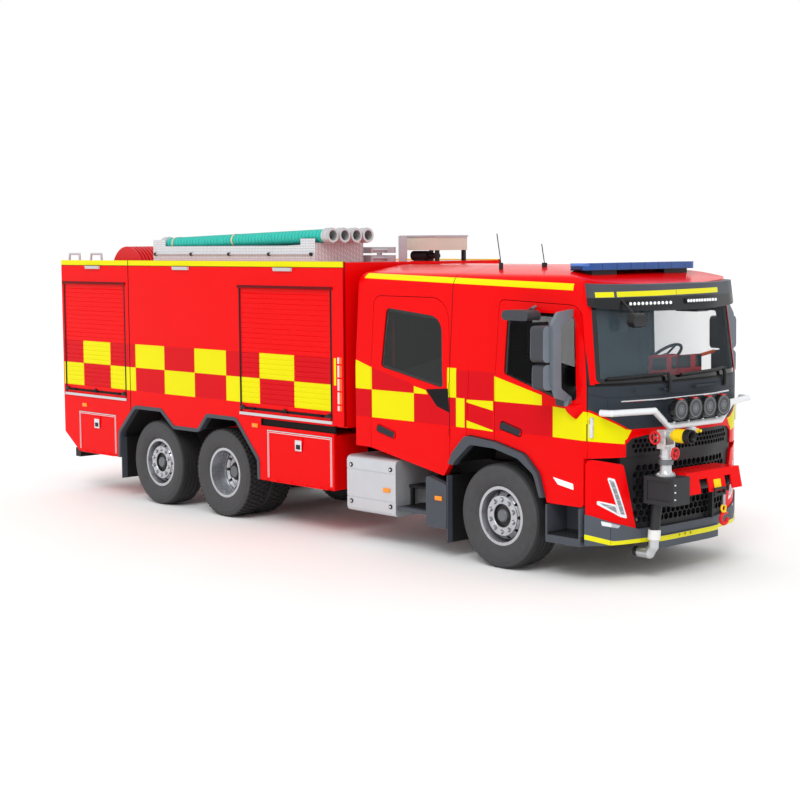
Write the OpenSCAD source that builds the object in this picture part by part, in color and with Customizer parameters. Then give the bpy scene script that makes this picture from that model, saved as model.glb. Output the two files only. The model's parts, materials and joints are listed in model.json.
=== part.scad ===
// Fire truck: crew cab, locker body, steered front axle, twin-tyred drive axle and tag axle.
// Lengths are in millimetres from the front axle; +X is forward, +Y the truck's left, +Z up.

/* [Wheels and axles] */
// Outside diameter of every tyre
tyre_d = 1072; // [1040:2:1090]
// Width of the single front and tag tyres
wide_tyre = 385; // [355:5:395]
// Width of each twin tyre
twin_tyre = 312; // [290:2:320]
// Distance between the two tyres of a twin, centre to centre
twin_pitch = 350; // [340:2:360]
// Bead seat diameter of the rims
rim_d = 572; // [560:2:584]
// Width over the outer tyre faces
over_tyres = 2490; // [2460:5:2500]
// Front axle to drive axle
wheelbase = 4600; // [4550:10:4700]
// Drive axle to tag axle
bogie = 1370; // [1340:5:1400]

/* [Frame] */
// Width over the two frame rails
frame_w = 850; // [800:10:860]
// Height of a frame rail
frame_h = 280; // [260:5:290]
// Height of the rails' top above the ground
frame_top = 955; // [940:5:970]

/* [Cab] */
// Width of the cab at the belt line
cab_w = 2400; // [2380:5:2420]
// Front axle to the cab's rear wall
cab_back = 2200; // [2180:5:2220]
// Front axle to the middle of the cab's nose
cab_front = 1420; // [1400:5:1440]
// Height of the cab roof
cab_roof = 3060; // [3030:5:3100]
// Height of the windscreen's lower edge
belt_z = 1930; // [1915:5:1945]
// Height of the cab floor
floor_z = 1345; // [1345:5:1370]
// Thickness of the cab's walls and doors
cab_wall = 65; // [60:1:75]
// Lean of the windscreen
rake = 9; // [7:0.5:11]
// How far each side leans in between belt line and roof
tumble = 65; // [50:5:75]

/* [Cab doors] */
// Gap round each door
door_gap = 6; // [5.5:0.5:8]
// Front axle forward to the front door's hinge edge
front_door_hinge = 1122; // [1118:1:1126]
// Front axle back to the front door's lock edge
front_door_lock = 100; // [90:2:110]
// Front axle back to the crew door's hinge edge
crew_door_hinge = 735; // [725:5:745]
// Front axle back to the crew door's lock edge
crew_door_lock = 1954; // [1940:2:1970]
// Cab roof down to the top of the doors
door_top = 335; // [325:5:350]
// Thickness of the window glass
glass_t = 6; // [5:1:8]

/* [Front] */
// Underside of the bumper
bumper_low = 330; // [315:5:345]
// Top of the bumper at the middle
bumper_top = 505; // [495:5:515]
// Top of the headlamp panels
lamp_top = 1165; // [1150:5:1175]
// Lower edge of the red nose panel
nose_low = 1222; // [1215:1:1230]
// Lower edge of the grey apron at the middle
apron_low = 1490; // [1480:5:1500]
// Thickness of the nose panels
skin = 45; // [40:1:50]
// Distance the monitor's nozzle reaches in front of the front axle
front_reach = 1900; // [1890:5:1920]

/* [Body] */
// Width of the body
body_w = 2530; // [2520:5:2540]
// Gap between cab and body
body_gap = 130; // [110:5:150]
// Length of the body
body_len = 5780; // [5740:10:5820]
// Height of the body's top edge
body_top = 3100; // [3080:5:3120]
// Height of the body's lower edge
skirt_z = 535; // [525:5:545]
// Thickness of the body's walls
body_wall = 40; // [36:1:44]
// Lower edge of the side shutters
shutter_low = 1320; // [1310:5:1330]
// Body top down to the upper edge of the side shutters
shutter_high = 315; // [300:5:330]
// Height of one shutter slat
slat = 58; // [50:1:64]

/* [Roof gear] */
// Outside diameter of a suction hose
hose_d = 150; // [140:2:160]
// Sideways spacing of the suction hoses
hose_pitch = 178; // [174:1:184]

/* [Hidden] */
$fn = 48;
eps = 0.3;
tyre_r = tyre_d / 2;
bead_r = rim_d / 2;
single_y = (over_tyres - wide_tyre) / 2;
twin_y = over_tyres / 2 - twin_tyre / 2 - twin_pitch / 2;
king_y = single_y - 140;
drive_x = -wheelbase;
tag_x = -wheelbase - bogie;
cab_y = cab_w / 2;
body_y = body_w / 2;
body_x1 = -cab_back - body_gap;
body_x0 = body_x1 - body_len;
rear_reach = 95;
door_z = cab_roof - door_top;
head = door_z - belt_z;
shutter_z = body_top - shutter_high;
shift = -(front_reach + body_x0 - rear_reach) / 2;
rail_y = frame_w / 2;
frame_low = frame_top - frame_h;
floor_body = 1255;
floor_under = floor_z - 55;
hub_bore = 45.05;
spindle_r = 45;
twin_bore = 60.05;
twin_spindle_r = 60;
king_r = 25;
king_bore = 25.05;

// Outline points are [x, y, corner radius], listed counter-clockwise
function unit(v) = v / norm(v);
function pt(p) = [p[0], p[1]];
function turn(a) = a > 180 ? a - 360 : a < -180 ? a + 360 : a;
function corner(a, b, c, r, n) =
    let (u = unit(a - b), v = unit(c - b), h = acos(u * v) / 2)
    let (s = b + u * r / tan(h), e = b + v * r / tan(h), o = b + unit(u + v) * r / sin(h))
    let (a0 = atan2(s.y - o.y, s.x - o.x), da = turn(atan2(e.y - o.y, e.x - o.x) - a0))
    [for (i = [0:n]) o + r * [cos(a0 + da * i / n), sin(a0 + da * i / n)]];
function rounded(p, n = 5) = [
    for (i = [0:len(p) - 1])
        let (k = len(p), a = pt(p[(i + k - 1) % k]), b = pt(p[i]), c = pt(p[(i + 1) % k]))
        each (p[i][2] > 0.5 ? corner(a, b, c, p[i][2], n) : [b])];
function inset(p, d) = [
    for (i = [0:len(p) - 1])
        let (k = len(p), a = pt(p[(i + k - 1) % k]), b = pt(p[i]), c = pt(p[(i + 1) % k]))
        let (e = unit(b - a), f = unit(c - b), n = [-e.y, e.x], m = [-f.y, f.x])
        let (q = b + d * (n + m) / (1 + n * m), bend = e.x * f.y - e.y * f.x)
        let (r = p[i][2] > 0.5 ? max(p[i][2] - d * sign(bend), 1) : 0)
        [q.x, q.y, r]];
function both(p) = concat(p, [for (i = [len(p) - 1:-1:0]) [p[i][0], -p[i][1], p[i][2]]]);
function both_x(p) = concat(p, [for (i = [len(p) - 1:-1:0]) [-p[i][0], p[i][1], p[i][2]]]);

// Extrudes an (x, z) outline across y0..y1, a (y, z) outline along x0..x1, an (x, y) one up z0..z1
module xz(y0, y1) translate([0, y1, 0]) rotate([90, 0, 0]) linear_extrude(y1 - y0) children();
module yz(x0, x1) translate([x0, 0, 0]) rotate([90, 0, 90]) linear_extrude(x1 - x0) children();
module xy(z0, z1) translate([0, 0, z0]) linear_extrude(z1 - z0) children();
module box(x, y, z) translate([x[0], y[0], z[0]]) cube([x[1] - x[0], y[1] - y[0], z[1] - z[0]]);
module left() mirror([0, 1, 0]) children();
module sides() {
    children();
    left() children();
}
module rod(a, b, r) {
    d = b - a;
    translate(a) rotate([0, acos(d.z / norm(d)), atan2(d.y, d.x)]) cylinder(r = r, h = norm(d));
}
module tube_path(p, r) {
    for (i = [0:len(p) - 2]) rod(p[i], p[i + 1], r);
    for (i = [1:len(p) - 2]) translate(p[i]) sphere(r = r * 1.04);
}
module outline(p, n = 5) polygon(rounded(p, n));
module along_y(r, y0, y1) translate([0, y1, 0]) rotate([90, 0, 0]) cylinder(r = r, h = y1 - y0);
module along_x(r, x0, x1) translate([x0, 0, 0]) rotate([0, 90, 0]) cylinder(r = r, h = x1 - x0);

// Cab surfaces, d millimetres inside the outer skin
nose_back = 115;
nose_y = 930;
nose_flat = 420;
cab_plan = both([
    [-cab_back, -cab_y, 0], [front_door_hinge + 10, -cab_y, 130],
    [cab_front - nose_back, -nose_y, 500], [cab_front, -nose_flat, 1300]]);
cab_section = concat(
    [[-cab_y, 600, 0], [cab_y, 600, 0], [cab_y, belt_z + 20, 0]],
    [[cab_y - tumble, cab_roof - 95, 150], [500, cab_roof, 900]],
    [[-500, cab_roof, 900], [tumble - cab_y, cab_roof - 95, 150], [-cab_y, belt_z + 20, 0]]);
cab_side = [
    [-cab_back, 600, 0], [cab_front + 400, 600, 0], [cab_front + 400, cab_roof - 290, 0],
    [600, cab_roof - 40, 500], [-100, cab_roof, 900], [-cab_back, cab_roof, 90]];
function far_back(p) = [for (q = p) q[0] < -1000 ? [q[0] - 3000, q[1], 0] : q];

module plan_prism(d, z0, z1) xy(z0, z1) outline(inset(cab_plan, d));
function nose_x(y) = cab_front - max(min(abs(y), nose_y) - nose_flat, 0) * nose_back / (nose_y - nose_flat)
    - max(abs(y) - nose_y, 0) * (cab_front - nose_back - front_door_hinge - 10) / (cab_y - nose_y);
module raked()
    translate([cab_front, 0, belt_z]) rotate([0, -rake, 0]) translate([-cab_front, 0, -belt_z]) children();
module raked_prism(d) raked() xy(belt_z - 2600, belt_z + 2600) outline(inset(far_back(cab_plan), d));
module cab_solid(d) intersection() {
    xz(-cab_y - 400, cab_y + 400) outline(inset(cab_side, d));
    yz(-cab_back - 400, cab_front + 600) outline(inset(cab_section, d));
    union() {
        plan_prism(d, 500, belt_z);
        intersection() {
            raked_prism(d);
            box([-cab_back - 500, cab_front + 500], [-cab_y - 500, cab_y + 500], [belt_z, cab_roof + 500]);
        }
    }
}
module cab_skin(d0, d1) difference() {
    cab_solid(d0);
    cab_solid(d1);
}
module nose_skin(d0, d1, z0, z1) difference() {
    plan_prism(d0, z0, z1);
    plan_prism(d1, z0 - 1, z1 + 1);
}

// Front wheel arch: the lip's outer line, and the cab's lower edge that follows it
arch_lip = [
    [-661, 1128, 60], [-470, 1325, 110], [-53, 1290, 120],
    [340, 1200, 150], [530, 1020, 150], [600, 790, 0]];
cab_low_edge = concat(
    [[-cab_back - 200, 300, 0], [-cab_back - 200, 1079, 0], [-crew_door_lock, 1073, 0]],
    [[-817, 867, 30], [-731, 997, 0]],
    [for (p = arch_lip) [p[0] + (p[0] > 300 ? 10 : p[0] < -600 ? -6 : 0), p[1] + 8, p[2]]],
    [[622, 742, 0], [front_door_hinge - 30, 742, 40], [front_door_hinge - 30, nose_low, 0]],
    [[cab_front + 400, nose_low, 0], [cab_front + 400, 300, 0]]);
function reversed(p) = [for (i = [len(p) - 1:-1:0]) p[i]];
module below_cab() xz(-cab_y - 300, cab_y + 300) outline(reversed(cab_low_edge));

// Door and window outlines in (x, z)
front_door_shape = [
    [-front_door_lock - 5, 500, 0], [front_door_hinge, 500, 0], [front_door_hinge, belt_z, 0],
    [front_door_hinge - 95, door_z - 40, 0.214 * head], [-front_door_lock + 42, door_z, 0.075 * head]];
crew_door_shape = [
    [-crew_door_lock, 500, 0], [-crew_door_hinge, 500, 0], [-crew_door_hinge, 2000, 0],
    [-crew_door_hinge - 60, door_z, 0.327 * head], [-crew_door_lock + 15, door_z + 5, 0.126 * head]];
front_window_shape = [
    [40, belt_z + 55, 40], [700, belt_z - 140, 200], [front_door_hinge - 112, belt_z - 162, 50],
    [front_door_hinge - 175, door_z - 0.153 * head, 0.113 * head], [55, door_z - 0.138 * head,
        0.075 * head]];
crew_window_shape = [
    [-1789, belt_z + 37, 50], [-826, belt_z - 144, 40], [-880, door_z - 0.25 * head, 0.239 * head],
    [-1737, door_z - 0.148 * head, 0.075 * head]];
screen_shape = [
    [-1118, belt_z + 12, 50], [1118, belt_z + 12, 50], [1080, cab_roof - 290, 80],
    [-1080, cab_roof - 290, 80]];

// Door hinges: two knuckles on the door and one between them on the cab, on a common pin line
hinge_r = 8;
knuckle_h = 40;
front_hinge = [front_door_hinge + door_gap / 2, -cab_y + 14];
crew_hinge = [-crew_door_hinge + door_gap / 2, -cab_y - 2];
front_hinge_z = [nose_low + 50, nose_low + 335];
crew_hinge_z = [belt_z - 680, belt_z - 200];
module hinges(axis, z, slots, r, h) for (z0 = z) for (k = slots)
    translate([axis.x, axis.y, z0 + k * knuckle_h - (h - knuckle_h) / 2]) cylinder(r = r, h = h);
module door_knuckles(axis, z) hinges(axis, z, [0, 2], hinge_r, knuckle_h - eps);
module cab_knuckles(axis, z) hinges(axis, z, [1], hinge_r, knuckle_h - eps);
module door_knuckle_room(axis, z) hinges(axis, z, [0, 2], hinge_r + 2, knuckle_h + 1);
module cab_knuckle_room(axis, z) hinges(axis, z, [1], hinge_r + 2, knuckle_h + eps);

module door_cut(p) xz(-cab_y - 300, -cab_y + 200) outline(inset(p, -door_gap));
// Each handle lies slanted in a pocket; [x, z] is its upper rear corner
handle_shape = [[0, -70, 18], [268, -130, 10], [288, -118, 10], [288, -70, 14], [20, 0, 30]];
front_handle = [-10, belt_z - 428];
crew_handle = [-1858, belt_z - 596];
module door_handle(at, d, y) xz(-cab_y - y[0], -cab_y + y[1]) translate(at) outline(inset(handle_shape, d));
module door_panel(door, window, axis, z, handle) {
    difference() {
        intersection() {
            cab_skin(0, cab_wall);
            xz(-cab_y - 50, -cab_y + 200) outline(door);
        }
        below_cab();
        xz(-cab_y - 300, -cab_y + 300) outline(window);
        cab_knuckle_room(axis, z);
        door_handle(handle, -13, [1, 18]);
    }
    door_knuckles(axis, z);
    door_handle(handle, 0, [9, 19]);
}
module front_door() door_panel(
    front_door_shape, front_window_shape, front_hinge, front_hinge_z, front_handle);
module crew_door() door_panel(
    crew_door_shape, crew_window_shape, crew_hinge, crew_hinge_z, crew_handle);
module door_window(window) intersection() {
    cab_skin(12, 12 + glass_t);
    xz(-cab_y - 50, -cab_y + 200) outline(inset(window, eps));
}

module cab_shell() color("red") {
    cab_body();
    sides() cab_knuckles(crew_hinge, crew_hinge_z);
}
module cab_body() difference() {
    cab_solid(0);
    sides() door_knuckle_room(crew_hinge, crew_hinge_z);
    intersection() {
        cab_solid(cab_wall);
        box([-cab_back, cab_front], [-cab_y, cab_y], [floor_z, cab_roof]);
    }
    intersection() {
        cab_solid(cab_wall);
        box([-cab_back, cab_front], [-cab_y, cab_y], [400, floor_under]);
    }
    below_cab();
    sides() {
        door_cut(front_door_shape);
        door_cut(crew_door_shape);
    }
    yz(800, cab_front + 400) outline(screen_shape);
    difference() {
        box([front_door_hinge + door_gap, cab_front + 300], [-cab_y - 50, cab_y + 50], [400, belt_z + 2]);
        cab_solid(skin + eps);
    }
    sides() xz(-cab_y - 50, -cab_y + 5) polygon([[-500, 1100], [-492, 1100], [-397, 2960], [-405, 2960]]);
}
module windscreen() color("lightblue") intersection() {
    cab_skin(8, 8 + glass_t);
    yz(800, cab_front + 400) outline(inset(screen_shape, eps));
}

// Nose panels between the cab's front corners
module nose_zone() box(
    [front_door_hinge + door_gap + eps, cab_front + 300], [-cab_y - 50, cab_y + 50], [nose_low,
        belt_z + 1.5]);
apron_shape = [
    [-cab_y - 50, apron_low + 235, 0], [-cab_y + 10, apron_low + 210, 0], [-800, apron_low, 60],
    [800, apron_low, 60], [cab_y - 10, apron_low + 210, 0], [cab_y + 50, apron_low + 235, 0],
    [cab_y + 50, 2100, 0], [-cab_y - 50, 2100, 0]];
grille_shape = [
    [-840, nose_low - 1, 0], [840, nose_low - 1, 0], [840, apron_low - 141, 30], [773, apron_low - 91, 40],
    [600, apron_low - 66, 0], [-600, apron_low - 66, 0], [-773, apron_low - 91, 40], [-840,
        apron_low - 141, 30]];
grab_z = belt_z - 68;
seam_z = belt_z - 128;
// Thin joints between the apron's panels
module apron_seams() intersection() {
    cab_skin(-20, 4);
    yz(800, cab_front + 300) {
        translate([-1030, seam_z]) square([2060, 5]);
        sides_2d() polygon([[-cab_y - 60, seam_z + 62], [-1028, seam_z + 5], [-1028, seam_z],
            [-cab_y - 60, seam_z + 57]]);
        sides_2d() translate([-1025, apron_low]) square([5, seam_z - apron_low + 2]);
    }
}
module sides_2d() {
    children();
    mirror([1, 0]) children();
}
function screen_x(y, z) = nose_x(y) - max(z - belt_z, 0) * tan(rake);
function on_screen(y, z, d) = [screen_x(y, z) + d, y, z];
// A wiper parked along the screen's lower edge: spindle, arm, and the blade out to y = end
module wiper(y, end) {
    z = belt_z - 85;
    rod([nose_x(y) - 35, y, z], [nose_x(y) + 28, y, z], 20);
    tube_path([[nose_x(y) + 18, y, z], on_screen(y - 12, belt_z + 20, 26), on_screen(y - 24,
        belt_z + 84, 24)], 12);
    tube_path([for (k = [0:4]) on_screen(y - 24 + (end - y + 24) * k / 4, belt_z + 84 - 6 * k, 22)], 9);
    tube_path([for (k = [0:4]) on_screen(y - 110 + (end - y + 110) * k / 4, belt_z + 62 - 5 * k, 14)], 7);
    for (k = [1, 3]) {
        b = y - 110 + (end - y + 110) * k / 4;
        rod(on_screen(b, belt_z + 62 - 5 * k, 14), on_screen(b, belt_z + 84 - 6 * k, 22), 8);
    }
}
module front_apron() color("dimgray") {
    difference() {
        intersection() {
            cab_skin(0, skin);
            nose_zone();
            yz(800, cab_front + 300) outline(apron_shape);
        }
        apron_seams();
    }
    wiper(-312, -1040);
    wiper(660, -130);
    for (g = [[-770, -395], [70, 520]]) tube_path([
        [nose_x(g[0]) - 25, g[0], grab_z], [nose_x(g[0]) + 36, g[0] + 16, grab_z],
        [nose_x(g[1]) + 36, g[1] - 16, grab_z], [nose_x(g[1]) - 25, g[1], grab_z]], 13);
}
module front_panel() color("red") {
    nose_panel();
    sides() cab_knuckles(front_hinge, front_hinge_z);
}
module nose_panel() difference() {
    intersection() {
        cab_skin(0, skin);
        nose_zone();
    }
    sides() door_knuckle_room(front_hinge, front_hinge_z);
    yz(800, cab_front + 300) outline(inset(apron_shape, -eps));
    yz(800, cab_front + 300) outline(grille_shape);
}

// Honeycomb plate: hexagonal holes of radius r through an outline, kept clear of its border
hex_wall = 11;
function hex(c, r) = [for (i = [0:5]) c + r * [cos(60 * i + 30), sin(60 * i + 30)]];
module honeycomb(border, r, rows, centre, half) {
    rim = rounded(border);
    pitch = 1.732 * r + hex_wall;
    cols = ceil(half / pitch);
    holes = [for (j = [0:rows - 1]) for (i = [-cols:cols])
        let (c = centre + [(i + (j % 2) / 2) * pitch, (j - (rows - 1) / 2) * pitch * 0.866])
        if (abs(c.x) < half - r) hex(c, r)];
    n = len(rim);
    polygon(
        concat(rim, [for (h = holes) each h]),
        concat([[for (i = [0:n - 1]) i]],
            [for (k = [0:len(holes) - 1]) [for (i = [0:5]) n + 6 * k + i]]));
}
lamp_edge = [[-690, bumper_top - 100], [-863, lamp_top - 33], [-886, lamp_top - 11]];
lower_grille_shape = both_x([
    [-676, bumper_top + eps, 0], [-709, bumper_top + 13, 0], [-859, lamp_top - 33, 0],
    [-882, lamp_top - 9, 0], [-882, nose_low - 4, 0]]);
module grilles() color("black") {
    intersection() {
        cab_skin(14, skin - 2);
        yz(800, cab_front + 300) honeycomb(
            inset(grille_shape, eps), 25, 3, [0, (nose_low + apron_low) / 2 - 36], 770);
    }
    intersection() {
        nose_skin(28, 70, bumper_top, nose_low);
        yz(800, cab_front + 300) honeycomb(
            reversed(lower_grille_shape), 36, 9, [0, (bumper_top + lamp_top) / 2 + 10], 735);
    }
}

// Headlamp panels, lamps and bumper; the bumper's top follows the panels' lower edge
bumper_corner = bumper_top + 175;
bumper_shape = reversed(both_x([
    [-cab_y - 90, bumper_low + 42, 0], [-cab_y - 90, bumper_corner + 36, 0], [-cab_y, bumper_corner, 0],
    [-980, bumper_top + 87, 0], [-716, bumper_top + 9, 0], [-680, bumper_top, 0]]));
panel_shape = [
    [-cab_y - 60, bumper_top - 100, 0], [lamp_edge[0].x, lamp_edge[0].y, 0], [lamp_edge[1].x,
        lamp_edge[1].y, 20],
    [lamp_edge[2].x, lamp_edge[2].y, 20], [-1159, lamp_top + 48, 30], [-cab_y - 60, lamp_top - 127, 0]];
lamp_blade = [[-906, 645, 10], [-818, 618, 10], [-956, 1015, 14], [-1028, 1040, 14]];
lamp_wedge = [[-1110, 775, 0], [-907, 646, 0], [-944, 765, 12], [-1110, 812, 10]];
fog_shape = [
    [-1088, bumper_top + 112, 8], [-1076, bumper_top + 63, 12], [-926, bumper_top + 28, 10], [-898,
        bumper_top + 54, 8]];
module headlamp_zone() box([front_door_hinge - 12, cab_front + 200], [-cab_y - 90, 0], [0, nose_low]);
module headlamp_panels() color("red") sides() difference() {
    intersection() {
        nose_skin(0, 60, bumper_top, nose_low - 6);
        headlamp_zone();
        yz(600, cab_front + 300) outline(panel_shape);
    }
    yz(600, cab_front + 300) outline(inset(bumper_shape, -eps));
    yz(800, cab_front + 300) outline(inset(lamp_blade, -eps));
    yz(800, cab_front + 300) outline(inset(lamp_wedge, -eps));
}
module headlamps() color("white") sides() {
    intersection() {
        nose_skin(2, 40, bumper_top, lamp_top);
        headlamp_zone();
        yz(800, cab_front + 300) union() {
            outline(lamp_blade);
            outline(lamp_wedge);
        }
    }
    intersection() {
        nose_skin(-6, 40, bumper_low, lamp_top);
        headlamp_zone();
        yz(800, cab_front + 300) outline(fog_shape);
    }
}
module bumper() color("dimgray") difference() {
    union() {
        intersection() {
            nose_skin(-12, 66, bumper_low, bumper_corner + 60);
            box([front_door_hinge - 12, cab_front + 200], [-cab_y - 90, cab_y + 90], [0, 2000]);
            yz(600, cab_front + 300) outline(bumper_shape);
        }
        intersection() {
            nose_skin(-30, 60, bumper_low - 36, bumper_low + 90);
            box([front_door_hinge, cab_front + 200], [-520, 520], [0, 2000]);
        }
        sides() box([frame_front() - 12 + eps, cab_front - 60], [-rail_y, 90 - rail_y],
            [bumper_low + 20, bumper_top]);
        box([frame_front(), frame_front() + 40], [-rail_y, rail_y], [bumper_low + 60, bumper_top - 60]);
    }
    sides() yz(800, cab_front + 300) outline(inset(fog_shape, -eps));
    for (k = [-1:1]) translate([0, 90 * k - 60, bumper_low + 65]) along_x(14, cab_front - 20,
        cab_front + 100);
    // joints between the bumper's three mouldings
    sides() box([cab_front - 60, cab_front + 20], [-664, -658], [bumper_low - 1, bumper_top + 1]);
    sides() box([cab_front - 400, cab_front - 60], [-1004, -998], [bumper_low - 1, bumper_top + 60]);
}
function frame_front() = cab_front - 170;

// Steps, arches and the boxes along the frame
step_x = [640, front_door_hinge - 34];
step_z = [bumper_low + 30, 732];
module entry_steps() color("dimgray") sides() {
    y0 = -cab_y - 38;
    difference() {
        box(step_x, [y0, -900], step_z);
        box([step_x[0] + 22, step_x[1] - 22], [y0 - 1, -940], [step_z[0] + 76, step_z[1] + 1]);
        box([step_x[0] + 22, step_x[1] - 22], [y0 + 24, -940], [step_z[0] - 1, step_z[0] + 56]);
    }
    // studded tread
    for (i = [0:7], j = [0:3])
        translate([step_x[0] + 60 + 47 * i, y0 + 50 + 55 * j, step_z[0] + 75]) cylinder(r = 13, h = 6);
    box([step_x[0] + 20, step_x[1] - 60], [-901, -rail_y - eps], [frame_low + 20, frame_low + 55]);
}
arch_y = -cab_y + cab_wall + 6.5;
module front_lip() {
    outer = concat([[-716, 1010, 0]], arch_lip);
    inner = [
        [560, 790, 0], [480, 1010, 120], [270, 1150, 120], [-60, 1225, 100],
        [-400, 1235, 110], [-600, 1060, 40], [-650, 1000, 0]];
    xz(-cab_y - 44, arch_y) outline(reversed(concat(outer, inner)));
}
module front_liner() {
    top = [[-700, 1240, 40], [-440, 1268, 0], [560, 1268, 0], [560, 1250, 0],
        [-440, 1250, 0], [-640, 1222, 20], [-690, 1010, 0], [-715, 1010, 0]];
    xz(arch_y - 1, -560) outline(reversed(top));
    for (x = [-400, 380]) box([x, x + 100], [-760, -600], [1267, floor_under - eps]);
}
drive_arch = 1242;
arch_dip = 1044;
module rear_arch_outline(d) {
    p = [
        [drive_x + 764, 100, 0], [drive_x + 764, 520, 0], [drive_x + 755, 780, 60],
        [drive_x + 320, drive_arch, 150], [drive_x - 280, drive_arch, 100],
        [drive_x - 460, arch_dip, 80], [tag_x + 410, arch_dip, 80], [tag_x + 140, drive_arch, 100],
        [tag_x - 460, drive_arch, 150], [tag_x - 836, 880, 150], [tag_x - 866, 100, 0]];
    outline(inset(p, d));
}
module wheel_arches() color("dimgray") {
    sides() {
        front_lip();
        front_liner();
        // grey corner panel with the crew step beside it
        difference() {
            xz(-cab_y - 42, -760) outline([
                [-1050, 310, 40], [-745, 310, 30], [-742, 780, 30], [-1050, 855, 30]]);
            xz(-cab_y - 10, -700) outline([
                [-1030, 345, 30], [-780, 345, 30], [-780, 760, 30], [-1030, 820, 30]]);
        }
        box([-1500, -1049], [-cab_y - 42, -840], [430, 470]);
        box([-1500, -1049], [-1060, -840], [660, 690]);
        for (x = [-1480, -1080]) box([x, x + 30], [-1060, -1020], [430, 690]);
        box([-1400, -1300], [-841, -rail_y - eps], [frame_low + 10, frame_low + 60]);
        box([-1400, -1300], [-860, -820], [430, frame_low + 60]);
        // mud flap behind the front wheel
        box([-742, -730], [-cab_y - 35, -700], [170, 880]);
        // lip and mud flap of the rear arch
        difference() {
            union() {
                xz(-body_y - 8, -body_y + body_wall) difference() {
                    rear_arch_outline(eps);
                    rear_arch_outline(45);
                }
                xz(-body_y + body_wall - 1, -700) difference() {
                    rear_arch_outline(10);
                    rear_arch_outline(22);
                }
            }
            box([drive_x - 2400, drive_x + 2000], [-body_y - 50, 0], [0, skirt_z]);
        }
        box([tag_x - 812, tag_x - 800], [-body_y + 20, -720], [260, 800]);
        box([tag_x - 900, tag_x - 800], [-740, -rail_y - eps], [frame_low + 60, frame_low + 90]);
        box([tag_x - 812, tag_x - 800], [-740, -700], [700, frame_low + 90]);
    }
}
tank_x = [-2310, -1520];
module side_tanks() color("silver") sides() {
    difference() {
        yz(tank_x[0], tank_x[1]) outline([
            [-cab_y - 42, 345, 50], [-740, 345, 50], [-740, 965, 30], [-cab_y - 42, 965, 60]]);
        for (z = [500, 810]) box([tank_x[0] - 1, tank_x[1] + 1], [-cab_y - 60, -cab_y - 36], [z, z + 10]);
    }
    for (x = [tank_x[0] + 100, tank_x[1] - 180])
        box([x, x + 80], [-741, -rail_y - eps], [frame_low + 20, frame_low + 120]);
}

// Wheels: the profile runs in (radius, outward) and is turned about the axle
module on_axle(x, y) translate([x, -y, tyre_r]) rotate([90, 0, 0]) children();
module tyre(w) {
    h = tyre_r - bead_r;
    half = [
        [bead_r + eps, 0.355 * w, 0], [bead_r + 26, 0.355 * w, 0], [bead_r + 0.2 * h, 0.44 * w, 20],
        [bead_r + 0.45 * h, 0.5 * w, 60], [tyre_r - 0.16 * h, 0.485 * w, 40], [tyre_r - 4, 0.40 * w, 12]];
    cut = 13;
    groove = [for (g = [0.24, 0.08, -0.08, -0.24]) each [
        [tyre_r, g * w + 7, 0], [tyre_r - cut, g * w + 4, 0],
        [tyre_r - cut, g * w - 4, 0], [tyre_r, g * w - 7, 0]]];
    p = concat([for (q = half) q], groove, [for (i = [len(half) - 1:-1:0]) [half[i][0], -half[i][1],
        half[i][2]]]);
    rotate_extrude() outline(reversed(p), 4);
}
module nuts(r, z) for (k = [0:9]) rotate(36 * k + 18) translate([r, 0, z])
    linear_extrude(26) polygon(hex([0, 0], 17));
module barrel_2d(w, z) translate([0, z]) {
    translate([bead_r - 14, -0.385 * w]) square([14, 0.77 * w]);
    for (s = [-1, 1]) translate([bead_r - 14, s * 0.3715 * w - 0.0135 * w]) square([34, 0.027 * w]);
}
module single_rim() {
    w = wide_tyre;
    difference() {
        union() {
            rotate_extrude() union() {
                barrel_2d(w, 0);
                // dished disc with a raised bolting ring round the open hub
                outline([
                    [bead_r - 13, -0.02 * w, 0], [bead_r - 13, 0.05 * w, 0], [bead_r - 46, 0.22 * w, 30],
                    [206, 0.34 * w, 18], [124, 0.34 * w, 8], [116, 0.31 * w, 0], [112, 0.21 * w, 0],
                    [128, 0.21 * w, 0], [132, 0.28 * w, 8], [196, 0.28 * w, 18],
                    [bead_r - 64, 0.17 * w, 30], [bead_r - 36, -0.02 * w, 0]], 4);
            }
            translate([0, 0, -80]) cylinder(r = 118, h = 0.25 * w + 80);
            translate([0, 0, 0.24 * w]) cylinder(r = 66, h = 0.08 * w);
            translate([0, 0, 0.31 * w]) cylinder(r1 = 66, r2 = 54, h = 0.04 * w);
            nuts(165, 0.34 * w - 1);
        }
        translate([0, 0, -81]) cylinder(r = hub_bore, h = 0.1 * w + 101);
        for (k = [0:9]) rotate(36 * k) translate([bead_r - 60, 0, 0]) cylinder(r = 16, h = w);
    }
}
module twin_rims() {
    w = twin_tyre;
    p = twin_pitch / 2;
    difference() {
        union() {
            rotate_extrude() union() {
                for (s = [-1, 1]) barrel_2d(w, s * p);
                polygon([[110, -13], [180, -13], [bead_r - 36, -60], [bead_r - 13, -60], [bead_r - 13, -86],
                    [bead_r - 48, -86], [172, -30], [110, -30]]);
                polygon([[110, 13], [110, -14], [178, -14], [178, 13]]);
                polygon([[110, 30], [172, 30], [bead_r - 48, 86], [bead_r - 13, 86], [bead_r - 13, 60],
                    [bead_r - 36, 60], [180, 12], [110, 12]]);
            }
            translate([0, 0, -150]) cylinder(r = 112, h = 270);
            translate([0, 0, 119]) cylinder(r1 = 96, r2 = 84, h = 40);
            nuts(148, 29);
        }
        translate([0, 0, -151]) cylinder(r = twin_bore, h = 221);
        for (k = [0:9]) rotate(36 * k) translate([bead_r - 62, 0, 0]) cylinder(r = 20, h = w,
            center = true);
    }
}
module front_tyre() on_axle(0, single_y) tyre(wide_tyre);
module front_rim() on_axle(0, single_y) single_rim();
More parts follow.
